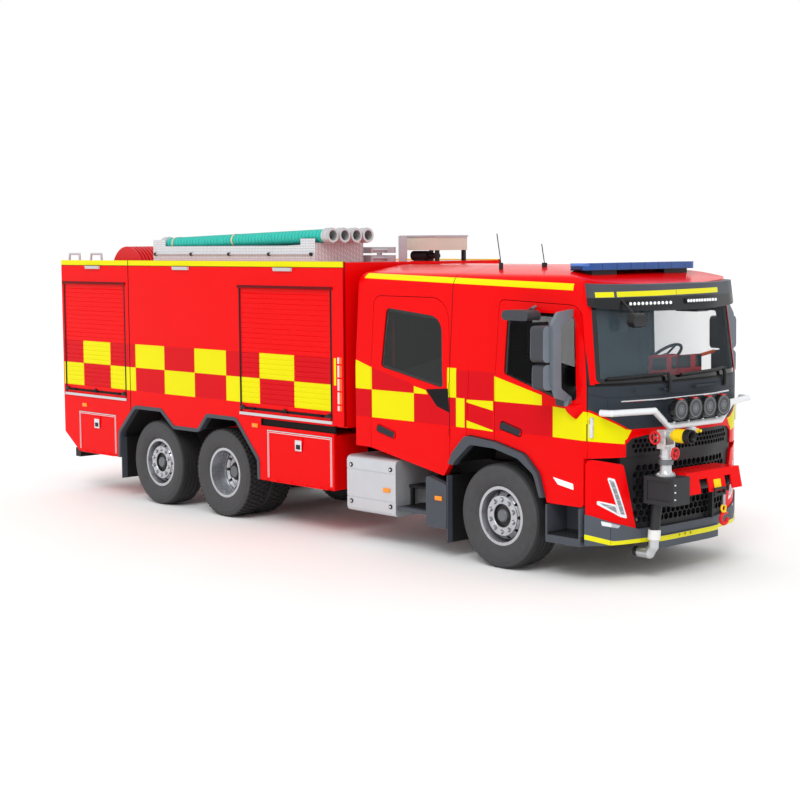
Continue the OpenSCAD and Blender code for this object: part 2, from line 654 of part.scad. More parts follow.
module drive_tyres() on_axle(drive_x, twin_y) for (s = [-1, 1]) translate([0, 0,
    s * twin_pitch / 2]) tyre(twin_tyre);
module drive_rims() on_axle(drive_x, twin_y) twin_rims();
module tag_tyre() on_axle(tag_x, single_y) tyre(wide_tyre);
module tag_rim() on_axle(tag_x, single_y) single_rim();
module tyre_front_right() color("black") front_tyre();
module tyre_front_left() color("black") left() front_tyre();
module rim_front_right() color("silver") front_rim();
module rim_front_left() color("silver") left() front_rim();
module tyres_drive_right() color("black") drive_tyres();
module tyres_drive_left() color("black") left() drive_tyres();
module rims_drive_right() color("silver") drive_rims();
module rims_drive_left() color("silver") left() drive_rims();
module tyre_tag_right() color("black") tag_tyre();
module tyre_tag_left() color("black") left() tag_tyre();
module rim_tag_right() color("silver") tag_rim();
module rim_tag_left() color("silver") left() tag_rim();

// Steering knuckle: a fork over the axle's eye, the king pin and the wheel's spindle
eye_r = 40;
eye_h = 59.5;
fork_y = king_y + eye_r + 1;
module knuckle() translate([0, 0, tyre_r]) {
    for (s = [-1, 1]) intersection() {
        translate([0, 0, s * 75 - 15]) xy(0, 30) outline([
            [-52, -fork_y - 16, 0], [52, -fork_y - 16, 0], [52, -king_y + 20, 40], [-52, -king_y + 20,
                40]]);
        box([-100, 100], [-2000, 0], [-100, 100]);
    }
    box([-52, 52], [-fork_y - 16, -fork_y], [-90, 90]);
    translate([0, -king_y, -90]) cylinder(r = king_r, h = 180);
    along_y(spindle_r, -single_y - 0.1 * wide_tyre, -fork_y - 8);
    box([-190, -40], [-fork_y - 16, -fork_y], [-85, -60]);
}
module knuckle_right() color("gray") knuckle();
module knuckle_left() color("gray") left() knuckle();

// Axles with the springs that carry them
beam_top = tyre_r - 60;
beam_low = beam_top - 95;
spring_y = rail_y - 40;
module front_axle() difference() {
    union() {
        yz(-42, 42) outline(reversed(both_x([
            [-king_y + 380, beam_top, 0], [-king_y + 200, beam_top + 20, 60], [-king_y, tyre_r + 45, 0],
            [-king_y, tyre_r - 45, 0], [-king_y + 250, beam_low, 60], [-king_y + 380, beam_low, 0]])));
        sides() translate([0, -king_y, tyre_r - eye_h]) cylinder(r = eye_r, h = 2 * eye_h);
        sides() {
            box([-95, 95], [-spring_y - 40, -spring_y + 40], [beam_top - 1, beam_top + 62]);
            xz(-spring_y - 38, -spring_y + 38) polygon([
                [-800, frame_low - eps], [-800, frame_low - 60], [-400, beam_top + 70], [0, beam_top + 25],
                [400, beam_top + 70], [800, frame_low - 60], [800, frame_low - eps], [700, frame_low - eps],
                [400, beam_top + 110], [0, beam_top + 75], [-400, beam_top + 110], [-700,
                    frame_low - eps]]);
        }
    }
    sides() translate([0, -king_y, 0]) cylinder(r = king_bore, h = 2 * tyre_r);
}
module air_springs(x) sides() {
    box([x - 330, x + 330], [-spring_y - 45, -spring_y + 45], [tyre_r - 105, tyre_r - 30]);
    for (s = [-1, 1]) {
        translate([x + 255 * s, -spring_y, tyre_r - 31]) cylinder(r = 95,
            h = frame_low - tyre_r + 31 - eps);
    }
}
shaft_x = -1750;
module axle_beams() color("dimgray") {
    front_axle();
    translate([drive_x, 0, tyre_r]) {
        along_y(72, -twin_y + 160, twin_y - 160);
        along_y(twin_spindle_r, -twin_y - 60, twin_y + 60);
        sphere(r = 215);
        along_x(90, 0, 260);
    }
    rod([drive_x + 250, 0, tyre_r + 4], [shaft_x - 6, 0, 790], 48);
    air_springs(drive_x);
    translate([tag_x, 0, tyre_r]) {
        along_y(68, -single_y + 100, single_y - 100);
        along_y(spindle_r, -single_y - 30, single_y + 30);
    }
    air_springs(tag_x);
}
cross_x = [frame_front() - 60, -2320, -2900, -3800, drive_x - 680, tag_x - 700, body_x0 + 90];
module frame_rails() color("dimgray") sides() {
    difference() {
        box([body_x0 + 60, frame_front() - 12], [-rail_y, -rail_y + 90], [frame_low, frame_top]);
        box([body_x0 + 50, frame_front()], [-rail_y + 10, -rail_y + 91], [frame_low + 12, frame_top - 12]);
    }
    // cab mounts, and the hangers that carry the bumper
    for (x = [980, -1950]) {
        box([x, x + 90], [-rail_y, -rail_y + 80], [frame_top - 1, floor_under - eps]);
        box([x - 40, x + 130], [-rail_y - 40, -rail_y + 90], [floor_under - 30, floor_under - eps]);
    }
    box([frame_front() - 100, frame_front() - 12], [-rail_y, 90 - rail_y], [bumper_low + 20,
        frame_low + 1]);
}
module cross_members() color("dimgray") {
    in_y = rail_y - 10 - eps;
    for (x = cross_x) box([x - 35, x + 35], [-in_y, in_y], [frame_top - 150, frame_top - 20]);
    // rear underrun bar on two legs
    bar_x = body_x0 + 130;
    box([bar_x - 60, bar_x + 60], [-1150, 1150], [430, 550]);
    sides() box([bar_x - 30, bar_x + 30], [-rail_y - 60, -rail_y - eps], [430, frame_top - 40]);
    // towing jaw on the rear cross member
    difference() {
        union() {
            box([body_x0 - rear_reach, body_x0 + 60 - eps], [-110, 110], [frame_low + 20, frame_low + 200]);
            box([body_x0 - 20, body_x0 + 60 - eps], [-rail_y + 5, rail_y - 5], [frame_low + 40,
                frame_low + 180]);
        }
        box([body_x0 - 120, body_x0 - 20], [-70, 70], [frame_low + 70, frame_low + 150]);
        translate([body_x0 - 60, 0, 0]) cylinder(r = 20, h = 3000);
    }
}
module engine_block() color("gray") {
    difference() {
        box([-950, 700], [-320, 320], [beam_top + 90, floor_under - 30]);
        sides() translate([-1000, -320, floor_under - 30]) rotate([45, 0, 0]) cube([1800, 130, 130],
            center = false);
    }
    sides() for (x = [-800, 450]) box([x, x + 120], [-rail_y + 10 + eps, -319], [frame_low + 60,
        frame_low + 180]);
    translate([0, 0, 800]) along_x(210, -1450, -949);
    translate([0, 0, 790]) along_x(120, shaft_x, -1449);
}

// Doors, their glass and the mirrors that hang on the front doors
module mirror_set() {
    z_top = door_z - 0.17 * head;
    z_foot = belt_z - 155;
    y_arm = -cab_y - 190;
    mid = belt_z + 0.265 * head;
    r = 0.065 * head;
    // bowed blade that carries both heads, from the door's frame to its foot
    yz(884, 926) outline([[-cab_y + 70, z_top + 66, 0], [y_arm + 20, z_top + 40, 60],
        [y_arm - 60, z_top - 60, 70], [y_arm - 60, z_foot + 170, 60], [y_arm, z_foot + 30, 40],
        [-cab_y + 2, z_foot - 20, 0], [-cab_y + 2, z_foot + 40, 0], [y_arm + 60, z_foot + 120, 40],
        [y_arm + 50, z_top - 90, 60], [-cab_y + 70, z_top + 2, 0]]);
    xz(-cab_y - 45, -cab_y + 4) outline([[780, z_foot - 60, 30], [930, z_foot - 60, 30],
        [960, z_foot + 50, 40], [760, z_foot + 50, 40]]);
    translate([0, y_arm - 20, 0]) {
        yz(720, 890) outline([[-140, mid + 10, r], [110, mid + 10, r], [115, z_top - 0.113 * head, r],
            [-135, z_top - 0.113 * head, r]]);
        yz(740, 890) outline([[-135, z_foot + 110, r], [105, z_foot + 110, r], [110, mid - 10, r],
            [-135, mid - 10, r]]);
    }
    // kerb mirror over the window
    rod([430, -cab_y + 75, door_z - 50], [430, -cab_y - 120, door_z - 115], 16);
    xz(-cab_y - 260, -cab_y - 70) outline([
        [250, door_z - 185, 50], [610, door_z - 185, 40], [600, door_z - 85, 50], [260, door_z - 85, 50]]);
}
module door_front_right() color("red") front_door();
module door_front_left() color("red") left() front_door();
module door_crew_right() color("red") crew_door();
module door_crew_left() color("red") left() crew_door();
module glass_front_right() color("lightblue") door_window(front_window_shape);
module glass_front_left() color("lightblue") left() door_window(front_window_shape);
module glass_crew_right() color("lightblue") door_window(crew_window_shape);
module glass_crew_left() color("lightblue") left() door_window(crew_window_shape);
module mirrors_right() color("dimgray") difference() {
    mirror_set();
    cab_solid(-eps);
}
module mirrors_left() color("dimgray") left() mirrors_right();

// Visor over the windscreen with the front mirror below its right corner
module sun_visor() color("dimgray") {
    intersection() {
        cab_skin(-75, -eps);
        xz(-cab_y, cab_y) polygon([
            [990, cab_roof - 360], [cab_front + 300, cab_roof - 500], [cab_front + 300, cab_roof - 260],
            [cab_front - 60, cab_roof - 180], [990, cab_roof - 155]]);
        box([0, cab_front + 400], [-1115, 1115], [cab_roof - 1000, cab_roof + 200]);
    }
    x = screen_x(-850, cab_roof - 300);
    difference() {
        rod([x + 28, -850, cab_roof - 280], [x + 258, -850, cab_roof - 480], 14);
        cab_solid(-eps);
    }
    intersection() {
        xz(-960, -740) outline([[x + 218, cab_roof - 580, 30], [x + 298, cab_roof - 580, 40],
            [x + 318, cab_roof - 440, 50], [x + 223, cab_roof - 440, 30]]);
        yz(x + 188, x + 348) outline([[-960, cab_roof - 520, 40], [-900, cab_roof - 582, 40],
            [-740, cab_roof - 582, 50], [-740, cab_roof - 438, 60], [-920, cab_roof - 438, 50]]);
    }
}
lamp_x = cab_front + 120;
lamp_z = 1668;
module lamp_bar() color("black") {
    tube_path([for (p = [
        [cab_front - 175, -1130, lamp_z], [cab_front - 60, -1100, lamp_z], [lamp_x - 45, -620, lamp_z],
        [lamp_x - 30, -420, lamp_z - 165], [lamp_x - 30, 420, lamp_z - 165], [lamp_x - 45, 620, lamp_z],
        [cab_front - 60, 1100, lamp_z], [cab_front - 175, 1130, lamp_z]]) p], 32);
    for (y = [-345, -115, 115, 345]) {
        translate([0, y, lamp_z]) {
            along_x(108, lamp_x + 10, lamp_x + 70);
            translate([lamp_x + 11, 0, 0]) rotate([0, -90, 0]) cylinder(r1 = 108, r2 = 60, h = 60);
        }
        rod([lamp_x - 30, y, lamp_z - 165], [lamp_x - 5, y, lamp_z - 60], 14);
    }
    sides() box([cab_front + eps, lamp_x - 20], [-330, -290], [lamp_z - 185, lamp_z - 150]);
    // hand-line valve under the bar
    translate([0, -70, lamp_z - 228]) {
        along_x(36, lamp_x - 60, lamp_x + 20);
        along_x(24, lamp_x + 19, lamp_x + 60);
        along_x(15, lamp_x + 59, lamp_x + 100);
    }
    rod([lamp_x - 30, -70, lamp_z - 230], [lamp_x - 30, -70, lamp_z - 165], 22);
}

// Front winch under its cover, with the pedestal box of the water monitor and its feed pipe
box_x = [cab_front + 12 + eps, 1790];
box_y = [-700, -440];
box_z = [770, 1040];
cover_y = -box_y[1] - 3 - eps;
module winch_tray() color("red") {
    difference() {
        yz(cab_front + 25, 1730) difference() {
            outline(reversed(both_x([[-cover_y, 860, 0], [-cover_y, 1060, 25]])), 4);
            outline(reversed(both_x([[12 - cover_y, 700, 0], [12 - cover_y, 1048, 15]])), 4);
        }
        translate([1600, 0, 930]) along_y(80, -440, -400);
        box([1520, 1680], [-440, -400], [700, 930]);
    }
    // front with three legs
    difference() {
        xz(-cover_y, cover_y) polygon([[1718, 1059], [1730, 1059], [1776, 850], [1764, 850]]);
        for (y = [[-236, -104], [175, 272]]) box([1700, 1800], y, [840, 985]);
    }
}
module winch_gear() color("black") {
    difference() {
        box(box_x, box_y, box_z);
        box([box_x[0] + 40, box_x[1] - 40], [box_y[0] - 1, box_y[0] + 12], [box_z[0] + 40, box_z[1] - 40]);
    }
    xz(box_y[1] - 1, box_y[1] + 3) polygon([[box_x[0], 780], [box_x[1] - 40, 780], [box_x[1] - 40,
        1020], [box_x[0], 1020]]);
    translate([1600, 0, 930]) along_y(75, box_y[1] - 5, 400);
    for (y = [-330, 300]) translate([1600, 0, 930]) along_y(98, y, y + 16);
    box([cab_front + 12 + eps, 1640], [380, 410], [800, 990]);
    // feet on the bumper
    box([nose_x(505) - 22, box_x[0] + 20], [-520, -490], [bumper_top + eps, box_z[0] + 1]);
    box([cab_front - 22, box_x[0] + 20], [380, 410], [bumper_top + eps, 801]);
    // fairlead, rope clevis, shackle and hook
    box([1776 + eps, 1797], [-40, 140], [862, 884]);
    box([1776 + eps, 1797], [-40, 140], [806, 828]);
    for (y = [-40, 118]) box([1776 + eps, 1797], [y, y + 22], [806, 884]);
    xz(92, 128) outline([[1779, 692, 4], [1797, 692, 4], [1797, 812, 0], [1779, 812, 0]]);
    translate([1788, 110, 668]) rotate([0, 90, 0]) rotate_extrude() translate([34, 0]) circle(r = 11);
    difference() {
        translate([1788, 122, 566]) rotate([0, 90, 0]) rotate_extrude() translate([54, 0]) circle(r = 19);
        box([1750, 1830], [122, 220], [566, 610]);
    }
    // feed hose and elbow to the pedestal
    tube_path([[1525, -600, box_z[0] + 10], [1490, -600, 480], [1478, -600, 335],
        [1430, -600, 262], [1250, -600, 262]], 50);
    along_hose = [[1490, -600, 500], [1484, -600, 410]];
    rod(along_hose[0], along_hose[1], 62);
}

// Water monitor: a swivelling body and a nozzle that tilts
mon = [1590, -560];
mon_z = 1440;
module handwheel(r) {
    rotate_extrude() translate([r, 0]) circle(r = 11);
    for (k = [0:2]) rotate(120 * k) rotate([0, 90, 0]) cylinder(r = 7, h = r);
    translate([0, 0, -14]) cylinder(r = 16, h = 28);
}
module monitor_base() color("silver") translate([mon.x, mon.y, 0]) {
    z0 = box_z[1] + eps;
    translate([0, 0, z0]) cylinder(r = 96, h = 16);
    for (k = [0:5]) rotate(60 * k) translate([80, 0, z0 + 15]) linear_extrude(13) polygon(hex([0, 0], 12));
    translate([0, 0, z0 + 15]) cylinder(r1 = 72, r2 = 56, h = 40);
    translate([0, 0, z0 + 54]) cylinder(r = 56, h = mon_z - z0 - 170);
    translate([0, 0, z0 + 110]) cylinder(r = 72, h = 46);
    translate([0, 0, z0 + 182]) cylinder(r = 64, h = 20);
    // fork that carries the nozzle
    for (s = [-1, 1]) intersection() {
        box([-45, 45], [s * 74 - 10, s * 74 + 10], [mon_z - 130, mon_z + 50]);
        translate([0, 0, mon_z]) along_y(150, -100, 100);
    }
    for (s = [-1, 1]) translate([0, 0, mon_z]) along_y(46, s * 74 - 10, s * 74 + 10);
    box([-45, 45], [-84, 84], [mon_z - 134, mon_z - 96]);
    translate([0, 0, mon_z]) for (s = [-1, 1]) along_y(20, s > 0 ? 40 : -70, s > 0 ? 70 : -40);
    // handwheels for swivel and tilt
    translate([0, 0, z0 + 225]) along_x(10, 50, 118);
    translate([112, 0, z0 + 225]) rotate([0, 90, 0]) handwheel(52);
    translate([-20, 0, mon_z - 20]) along_y(10, -150, -80);
    translate([-20, -146, mon_z - 20]) rotate([90, 0, 0]) handwheel(58);
}
module monitor_nozzle() color("gold") translate([mon.x, mon.y, mon_z]) difference() {
    union() {
        along_x(46, -60, 90);
        translate([85, 0, 0]) rotate([0, 90, 0]) cylinder(r1 = 46, r2 = 62, h = 40);
        along_x(62, 124, 214);
        for (k = [0:3]) along_x(66, 134 + 20 * k, 144 + 20 * k);
        translate([213, 0, 0]) rotate([0, 90, 0]) cylinder(r1 = 62, r2 = 70, h = 32);
        along_x(70, 244, front_reach - mon.x);
        along_y(38, -62, 62);
    }
    along_x(34, 150, 400);
    translate([front_reach - mon.x - 50, 0, 0]) rotate([0, 90, 0]) cylinder(r1 = 34, r2 = 58, h = 50.5);
    for (s = [-1, 1]) along_y(20.05, s > 0 ? 39 : -80, s > 0 ? 80 : -39);
}

// Light bar and aerials on the cab roof
module roof_lights() color("blue") {
    z = cab_roof - 70;
    difference() {
        union() {
            intersection() {
                yz(610, 870) outline([[-880, z + 28, 15], [880, z + 28, 15], [872, z + 100, 35], [-872,
                    z + 100, 35]]);
                xy(z, z + 120) outline([[610, -880, 60], [870, -880, 110], [870, 880, 110],
                    [610, 880, 60]]);
            }
            sides() box([660, 820], [-760, -380], [z - 40, z + 29]);
            rod([-400, -770, cab_roof - 60], [-400, -770, cab_roof + 30], 22);
            rod([-400, -770, cab_roof + 20], [-440, -790, cab_roof + 330], 5);
            rod([50, -600, cab_roof - 60], [50, -600, cab_roof + 30], 28);
            rod([50, -600, cab_roof + 20], [20, -610, cab_roof + 220], 5);
        }
        cab_solid(-eps);
    }
}
// seat places, as [x of the cushion's rear edge, y]; the padding lies on rigid pedestals
seat_at = [[130, -640], [130, 640], [-1850, -750], [-1850, -250], [-1850, 250], [-1850, 750]];
seat_low = floor_z + 290;
module seat(x, y) {
    xz(y - 235, y + 235) outline([[x - 20, seat_low + eps, 20], [x + 480, seat_low + eps, 40],
        [x + 490, seat_low + 140, 50], [x - 20, seat_low + 120, 20]]);
    xz(y - 225, y + 225) outline([[x - 120, seat_low + 100, 30], [x + 20, seat_low + 100, 30],
        [x - 60, door_z - 230, 50], [x - 170, door_z - 230, 50]]);
}
module seats() color("darkslategray") for (s = seat_at) seat(s.x, s.y);
module cab_interior() color("dimgray") {
    for (s = seat_at) xz(s.y - 210, s.y + 210) outline([[s.x + 40, floor_z + eps, 0],
        [s.x + 420, floor_z + eps, 0], [s.x + 450, seat_low, 0], [s.x + 10, seat_low, 0]]);
    // dashboard with the steering column and wheel
    xz(-1000, 1000) outline([[720, floor_z + 300, 60], [1000, floor_z + 240, 0], [1070, floor_z + 240, 0],
        [1070, belt_z - 30, 40], [820, belt_z - 20, 80], [700, belt_z - 150, 60]]);
    sides() box([900, 1060], [-700, -500], [floor_z + eps, floor_z + 241]);
    rod([820, 640, belt_z - 70], [625, 640, belt_z + 145], 35);
    translate([620, 640, belt_z + 150]) rotate([0, -42, 0]) {
        rotate_extrude() translate([215, 0]) circle(r = 16);
        for (k = [0:2]) rotate(120 * k) rotate([0, 90, 0]) cylinder(r = 12, h = 215);
        cylinder(r = 50, h = 20);
    }
}

// Body: floor, ends and roof in one core, with a side wall and its lockers on each side
core_y = body_y - body_wall - eps;
rear_door = [680, 1300, body_top - 540];
module body_core() color("red") {
    difference() {
        box([body_x0, body_x1], [-core_y, core_y], [floor_body, body_top - 12]);
        box([body_x0 + body_wall, body_x1 - body_wall], [-core_y - 1, core_y + 1], [floor_body + 50,
            body_top - 52]);
        box([body_x0 - 1, body_x0 + 100], [-rear_door[0], rear_door[0]], [rear_door[1], rear_door[2]]);
    }
    sides() box([body_x0 + 100, body_x1 - 60], [-rail_y, -rail_y + 80], [frame_top + eps, floor_body + 1]);
    box([body_x0, body_x0 + body_wall], [-core_y, core_y], [frame_low + 220, floor_body + 1]);
}
locker_gap = 5;
rear_locker = [[body_x0 + 360, body_x0 + 1245], [skirt_z + 6, 1085]];
front_locker = [[body_x1 - 1370, body_x1 - 205], [skirt_z + 6, 1140]];
rear_shutter = [body_x0 + 45, body_x0 + 1510];
front_shutter = [body_x1 - 1875, body_x1 - 190];
locker_back = 740;
module locker_box(l) difference() {
    box([l[0][0] - 16, l[0][1] + 16], [-body_y + body_wall - 1, -locker_back], [l[1][0] - 6, l[1][1] + 16]);
    box(l[0], [-body_y, -locker_back - 14], [l[1][0] + 10, l[1][1]]);
}
module hinge_line(l, moving) {
    n = 4;
    step = (l[0][1] - l[0][0] - 120) / (2 * n);
    x0 = l[0][0] + 60;
    for (k = [0:n - 1]) {
        x = x0 + (2 * k + (moving ? 0 : 1)) * step;
        translate([x + eps / 2, -body_y - 9, l[1][0]]) along_x(8, 0, step - eps);
        z = moving ? [2, 26] : [-5, 0];
        box([x + 1, x + step - 1], [-body_y - 9, -body_y + 1], [l[1][0] + z[0], l[1][0] + z[1]]);
    }
}
module body_side() {
    difference() {
        xz(-body_y, -body_y + body_wall) difference() {
            polygon([
                [body_x0, 780], [body_x0 + 352, skirt_z], [body_x1 - 170, skirt_z], [body_x1 - 170, 1269],
                [body_x1, 1269], [body_x1, body_top], [body_x0, body_top]]);
            rear_arch_outline(0);
            for (l = [rear_locker, front_locker])
                translate([l[0][0], l[1][0]]) square([l[0][1] - l[0][0], l[1][1] - l[1][0]]);
            for (s = [rear_shutter, front_shutter])
                translate([s[0], shutter_low]) square([s[1] - s[0], shutter_z - shutter_low]);
        }
        box([body_x0 - 1, body_x1 + 1], [-body_y - 1, -body_y + 4], [body_top - 68, body_top - 62]);
        box([body_x0 + 1590, body_x0 + 1602], [-body_y - 1, -body_y + 6], [1120, body_top + 1]);
        box([drive_x + 790, body_x1 + 1], [-body_y - 1, -body_y + 20], [1180, 1262]);
    }
    // header lip and sill of each shutter, and the scene lamps under the top edge
    for (s = [rear_shutter, front_shutter]) {
        yz(s[0] - 14, s[1] + 14) translate([-body_y, shutter_z]) polygon([[1, 4], [1, 34], [-8, 34],
            [-24, 4]]);
        yz(s[0], s[1]) translate([-body_y, shutter_low]) polygon([[1, -34], [1, -2], [-10, -2], [-16,
            -34]]);
    }
    for (x = [body_x0 + 786, body_x0 + 2761, body_x1 - 1032]) yz(x - 160, x + 160)
        translate([-body_y, body_top]) polygon([[1, -112], [1, -72], [-34, -72], [-22, -112]]);
    for (l = [rear_locker, front_locker]) {
        locker_box(l);
        hinge_line(l, false);
        box([l[0][0] + 60, l[0][1] - 60], [-locker_back - 8, -rail_y - eps], [frame_low + 40,
            frame_low + 90]);
    }
}
module body_side_right() color("red") body_side();
module body_side_left() color("red") left() body_side();
module locker_door(l) {
    g = locker_gap;
    difference() {
        box([l[0][0] + g, l[0][1] - g], [-body_y, -body_y + 34], [l[1][0] + g, l[1][1] - g]);
        box([l[0][0] + 45, l[0][1] - 45], [-body_y - 1, -body_y + 5], [l[1][0] + 45, l[1][1] - 45]);
    }
    m = (l[0][0] + l[0][1]) / 2;
    box([m - 70, m + 70], [-body_y - 8, -body_y + 6], [l[1][1] - 120, l[1][1] - 55]);
    hinge_line(l, true);
}
module locker_rear_right() color("red") locker_door(rear_locker);
module locker_front_right() color("red") locker_door(front_locker);
module locker_rear_left() color("red") left() locker_door(rear_locker);
module locker_front_left() color("red") left() locker_door(front_locker);

// Roller shutters: one profile of interlocking slats with a lift bar at the foot
function slats(z0, z1) = let (n = floor((z1 - z0) / slat), h = (z1 - z0) / n)
    [for (k = [0:n - 1]) each [[0, z0 + k * h], [-5, z0 + k * h + 6], [-5, z0 + (k + 1) * h - 6]]];
module curtain(z0, z1) polygon(concat([[18, z1], [18, z0]], slats(z0, z1), [[0, z1]]));
module shutters() color("silver") {
    sides() for (s = [rear_shutter, front_shutter]) {
        yz(s[0] + eps, s[1] - eps) translate([-body_y + 12, 0]) curtain(shutter_low + eps, shutter_z - eps);
        box([s[0] + 36, s[1] - 36], [-body_y + 1, -body_y + 13], [shutter_low + 30, shutter_low + 62]);
        for (x = [s[0] + eps, s[1] - 32 - eps])
            box([x, x + 32], [-body_y + 2, -body_y + 13], [shutter_low + eps, shutter_z - eps]);
        for (k = [-1:1]) translate([(s[0] + s[1]) / 2 + k * (s[1] - s[0]) * 0.36, 0, 0])
            box([-55, 55], [-body_y - 16, -body_y + 2], [shutter_low + 34, shutter_low + 58]);
    }
    translate([body_x0 + 12, 0, 0]) xz(-rear_door[0] + eps, rear_door[0] - eps)
        curtain(rear_door[1] + eps, rear_door[2] - eps);
}

// Roof: tray with the suction hoses, ladder, kit box, hose drum and grab bows
roof_z = body_top - 12 + eps;
tray_x = [body_x1 - 3800, body_x1 - 620];
tray_y = [135 - body_y, 155 - body_y + 4 * hose_pitch];
ladder_y = tray_y[1] + 68;
module roof_rack() color("silver") {
    for (y = [tray_y[0], tray_y[1] - 8]) box(tray_x, [y, y + 8], [roof_z, roof_z + 190]);
    box(tray_x, tray_y, [roof_z + 120, roof_z + 130]);
    box([tray_x[0], tray_x[0] + 8], tray_y, [roof_z, roof_z + 130]);
    box([tray_x[1] - 8, tray_x[1]], tray_y, [roof_z, roof_z + 220]);
    for (x = [tray_x[0] + 4, tray_x[1] - 260]) box([x, x + 256], [tray_y[0], tray_y[0] + 8],
        [roof_z + 100, roof_z + 270]);
    // guide rail with its rollers along the tray
    translate([0, tray_y[0] - 14, roof_z + 92]) along_x(9, tray_x[0] + 40, tray_x[1] - 40);
    for (k = [0:4]) translate([tray_x[0] + 60 + (tray_x[1] - tray_x[0] - 120) * k / 4, 0,
        roof_z + 92]) along_y(20, tray_y[0] - 26, tray_y[0] + 1);
    // ladder lying beside the tray
    lx = [body_x1 - 4200, body_x1 - 560];
    ly = [ladder_y, ladder_y + 360];
    for (y = ly) for (z = [0, 95]) box(lx, [y, y + 30], [roof_z + z, roof_z + z + 70]);
    for (k = [0:12]) translate([lx[0] + 150 + 280 * k, 0, 0]) for (z = [35, 130])
        translate([0, 0, roof_z + z]) along_y(16, ly[0] + 20, ly[0] + 370);
    for (x = [lx[0] + 300, lx[1] - 300]) for (y = ly) box([x, x + 60], [y, y + 30], [roof_z + 69,
        roof_z + 96]);
    // post and kit box on its stand
    box([body_x1 - 470, body_x1 - 400], [ladder_y + 350, ladder_y + 420], [roof_z, roof_z + 295]);
    ky = [ladder_y + 600, ladder_y + 1100];
    box([body_x1 - 690, body_x1 - 80], ky, [roof_z + 125, roof_z + 295]);
    box([body_x1 - 700, body_x1 - 70], [ky[0] - 10, ky[1] + 10], [roof_z + 282, roof_z + 300]);
    for (x = [body_x1 - 680, body_x1 - 130]) for (y = [ky[0] + 10, ky[1] - 50]) box([x, x + 40], [y,
        y + 40], [roof_z, roof_z + 126]);
    translate([0, ky[0] + 120, roof_z + 60]) along_x(58, body_x1 - 600, body_x1 - 330);
    translate([0, ky[0] + 120, roof_z + 60]) along_x(34, body_x1 - 331, body_x1 - 180);
    box([body_x1 - 560, body_x1 - 370], [ky[0] + 80, ky[0] + 160], [roof_z, roof_z + 60]);
    // grab bows at the rear corners
    for (x = [body_x0 + 30, body_x0 + 560]) for (y = [115 - body_y, body_y - 115]) {
        tube_path([[x, y, roof_z + 4], [x + 10, y, roof_z + 95], [x + 250, y, roof_z + 95],
            [x + 260, y, roof_z + 4]], 15);
        for (e = [0, 260]) translate([x + e, y, roof_z]) cylinder(r = 32, h = 8);
    }
    // ribbed hose drum half sunk in the roof
    intersection() {
        translate([body_x0 + 1260, 0, roof_z - 160]) {
            along_y(326, 215 - body_y, 615 - body_y);
            for (k = [0:7]) along_y(350, 215 - body_y + 52 * k, 247 - body_y + 52 * k);
        }
        box([body_x0, body_x0 + 2000], [100 - body_y, 0], [roof_z, roof_z + 400]);
    }
}
// Suction hoses: ribbed rubber with couplings, raised at the front where they leave the tray
hose_rise = 1.5;
module suction_hoses() color("teal") for (k = [0:3]) {
    y = tray_y[0] + 10 + hose_pitch * (k + 0.5);
    len = tray_x[1] - tray_x[0] + 80;
    translate([tray_x[0] + 120, y, roof_z + 130 + hose_d / 2 + 13]) rotate([0, -hose_rise,
        0]) difference() {
        union() {
            along_x(hose_d / 2 - 5, 0, len);
            for (e = [0, len - 120]) along_x(hose_d / 2 + 8, e, e + 120);
            for (e = [24, 84, len - 100, len - 40]) along_x(hose_d / 2 + 13, e, e + 18);
            for (i = [0:47]) translate([160 + i * (len - 350) / 47, 0, 0]) along_x(hose_d / 2, 0, 30);
        }
        along_x(hose_d / 2 - 18, len - 400, len + 1);
    }
}

// Rear lamps and step
module rear_fittings() color("darkred") sides() {
    yz(body_x0 - 30, body_x0 - eps) outline([
        [45 - body_y, 900, 20], [175 - body_y, 900, 20], [175 - body_y, 1250, 20], [45 - body_y, 1250,
            20]]);
    box([body_x0 - 30, body_x0 - eps], [35 - body_y, 135 - body_y], [body_top - 400, body_top - 240]);
}

module place() translate([shift, 0, 0]) children();
place() frame_rails();
place() cross_members();
place() engine_block();
place() axle_beams();
place() cab_shell();
place() windscreen();
place() front_panel();
place() front_apron();
place() grilles();
place() sun_visor();
place() bumper();
place() headlamp_panels();
place() headlamps();
place() entry_steps();
place() wheel_arches();
place() side_tanks();
place() lamp_bar();
place() winch_tray();
place() winch_gear();
place() roof_lights();
place() seats();
place() cab_interior();
place() body_core();
place() body_side_right();
place() body_side_left();
place() shutters();
place() roof_rack();
place() suction_hoses();
place() rear_fittings();
place() door_front_right();
place() door_front_left();
place() door_crew_right();
place() door_crew_left();
place() glass_front_right();
place() glass_front_left();
place() glass_crew_right();
place() glass_crew_left();
place() mirrors_right();
place() mirrors_left();
place() locker_rear_right();
place() locker_front_right();
place() locker_rear_left();
place() locker_front_left();
place() knuckle_right();
place() knuckle_left();
place() tyre_front_right();
place() tyre_front_left();
place() rim_front_right();
place() rim_front_left();
place() tyres_drive_right();
place() tyres_drive_left();
place() rims_drive_right();
place() rims_drive_left();
place() tyre_tag_right();
place() tyre_tag_left();
place() rim_tag_right();
place() rim_tag_left();
place() monitor_base();
place() monitor_nozzle();
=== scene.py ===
import json
import math
from functools import reduce
from operator import mul, or_
import bmesh
import bpy
from mathutils import Matrix, Vector


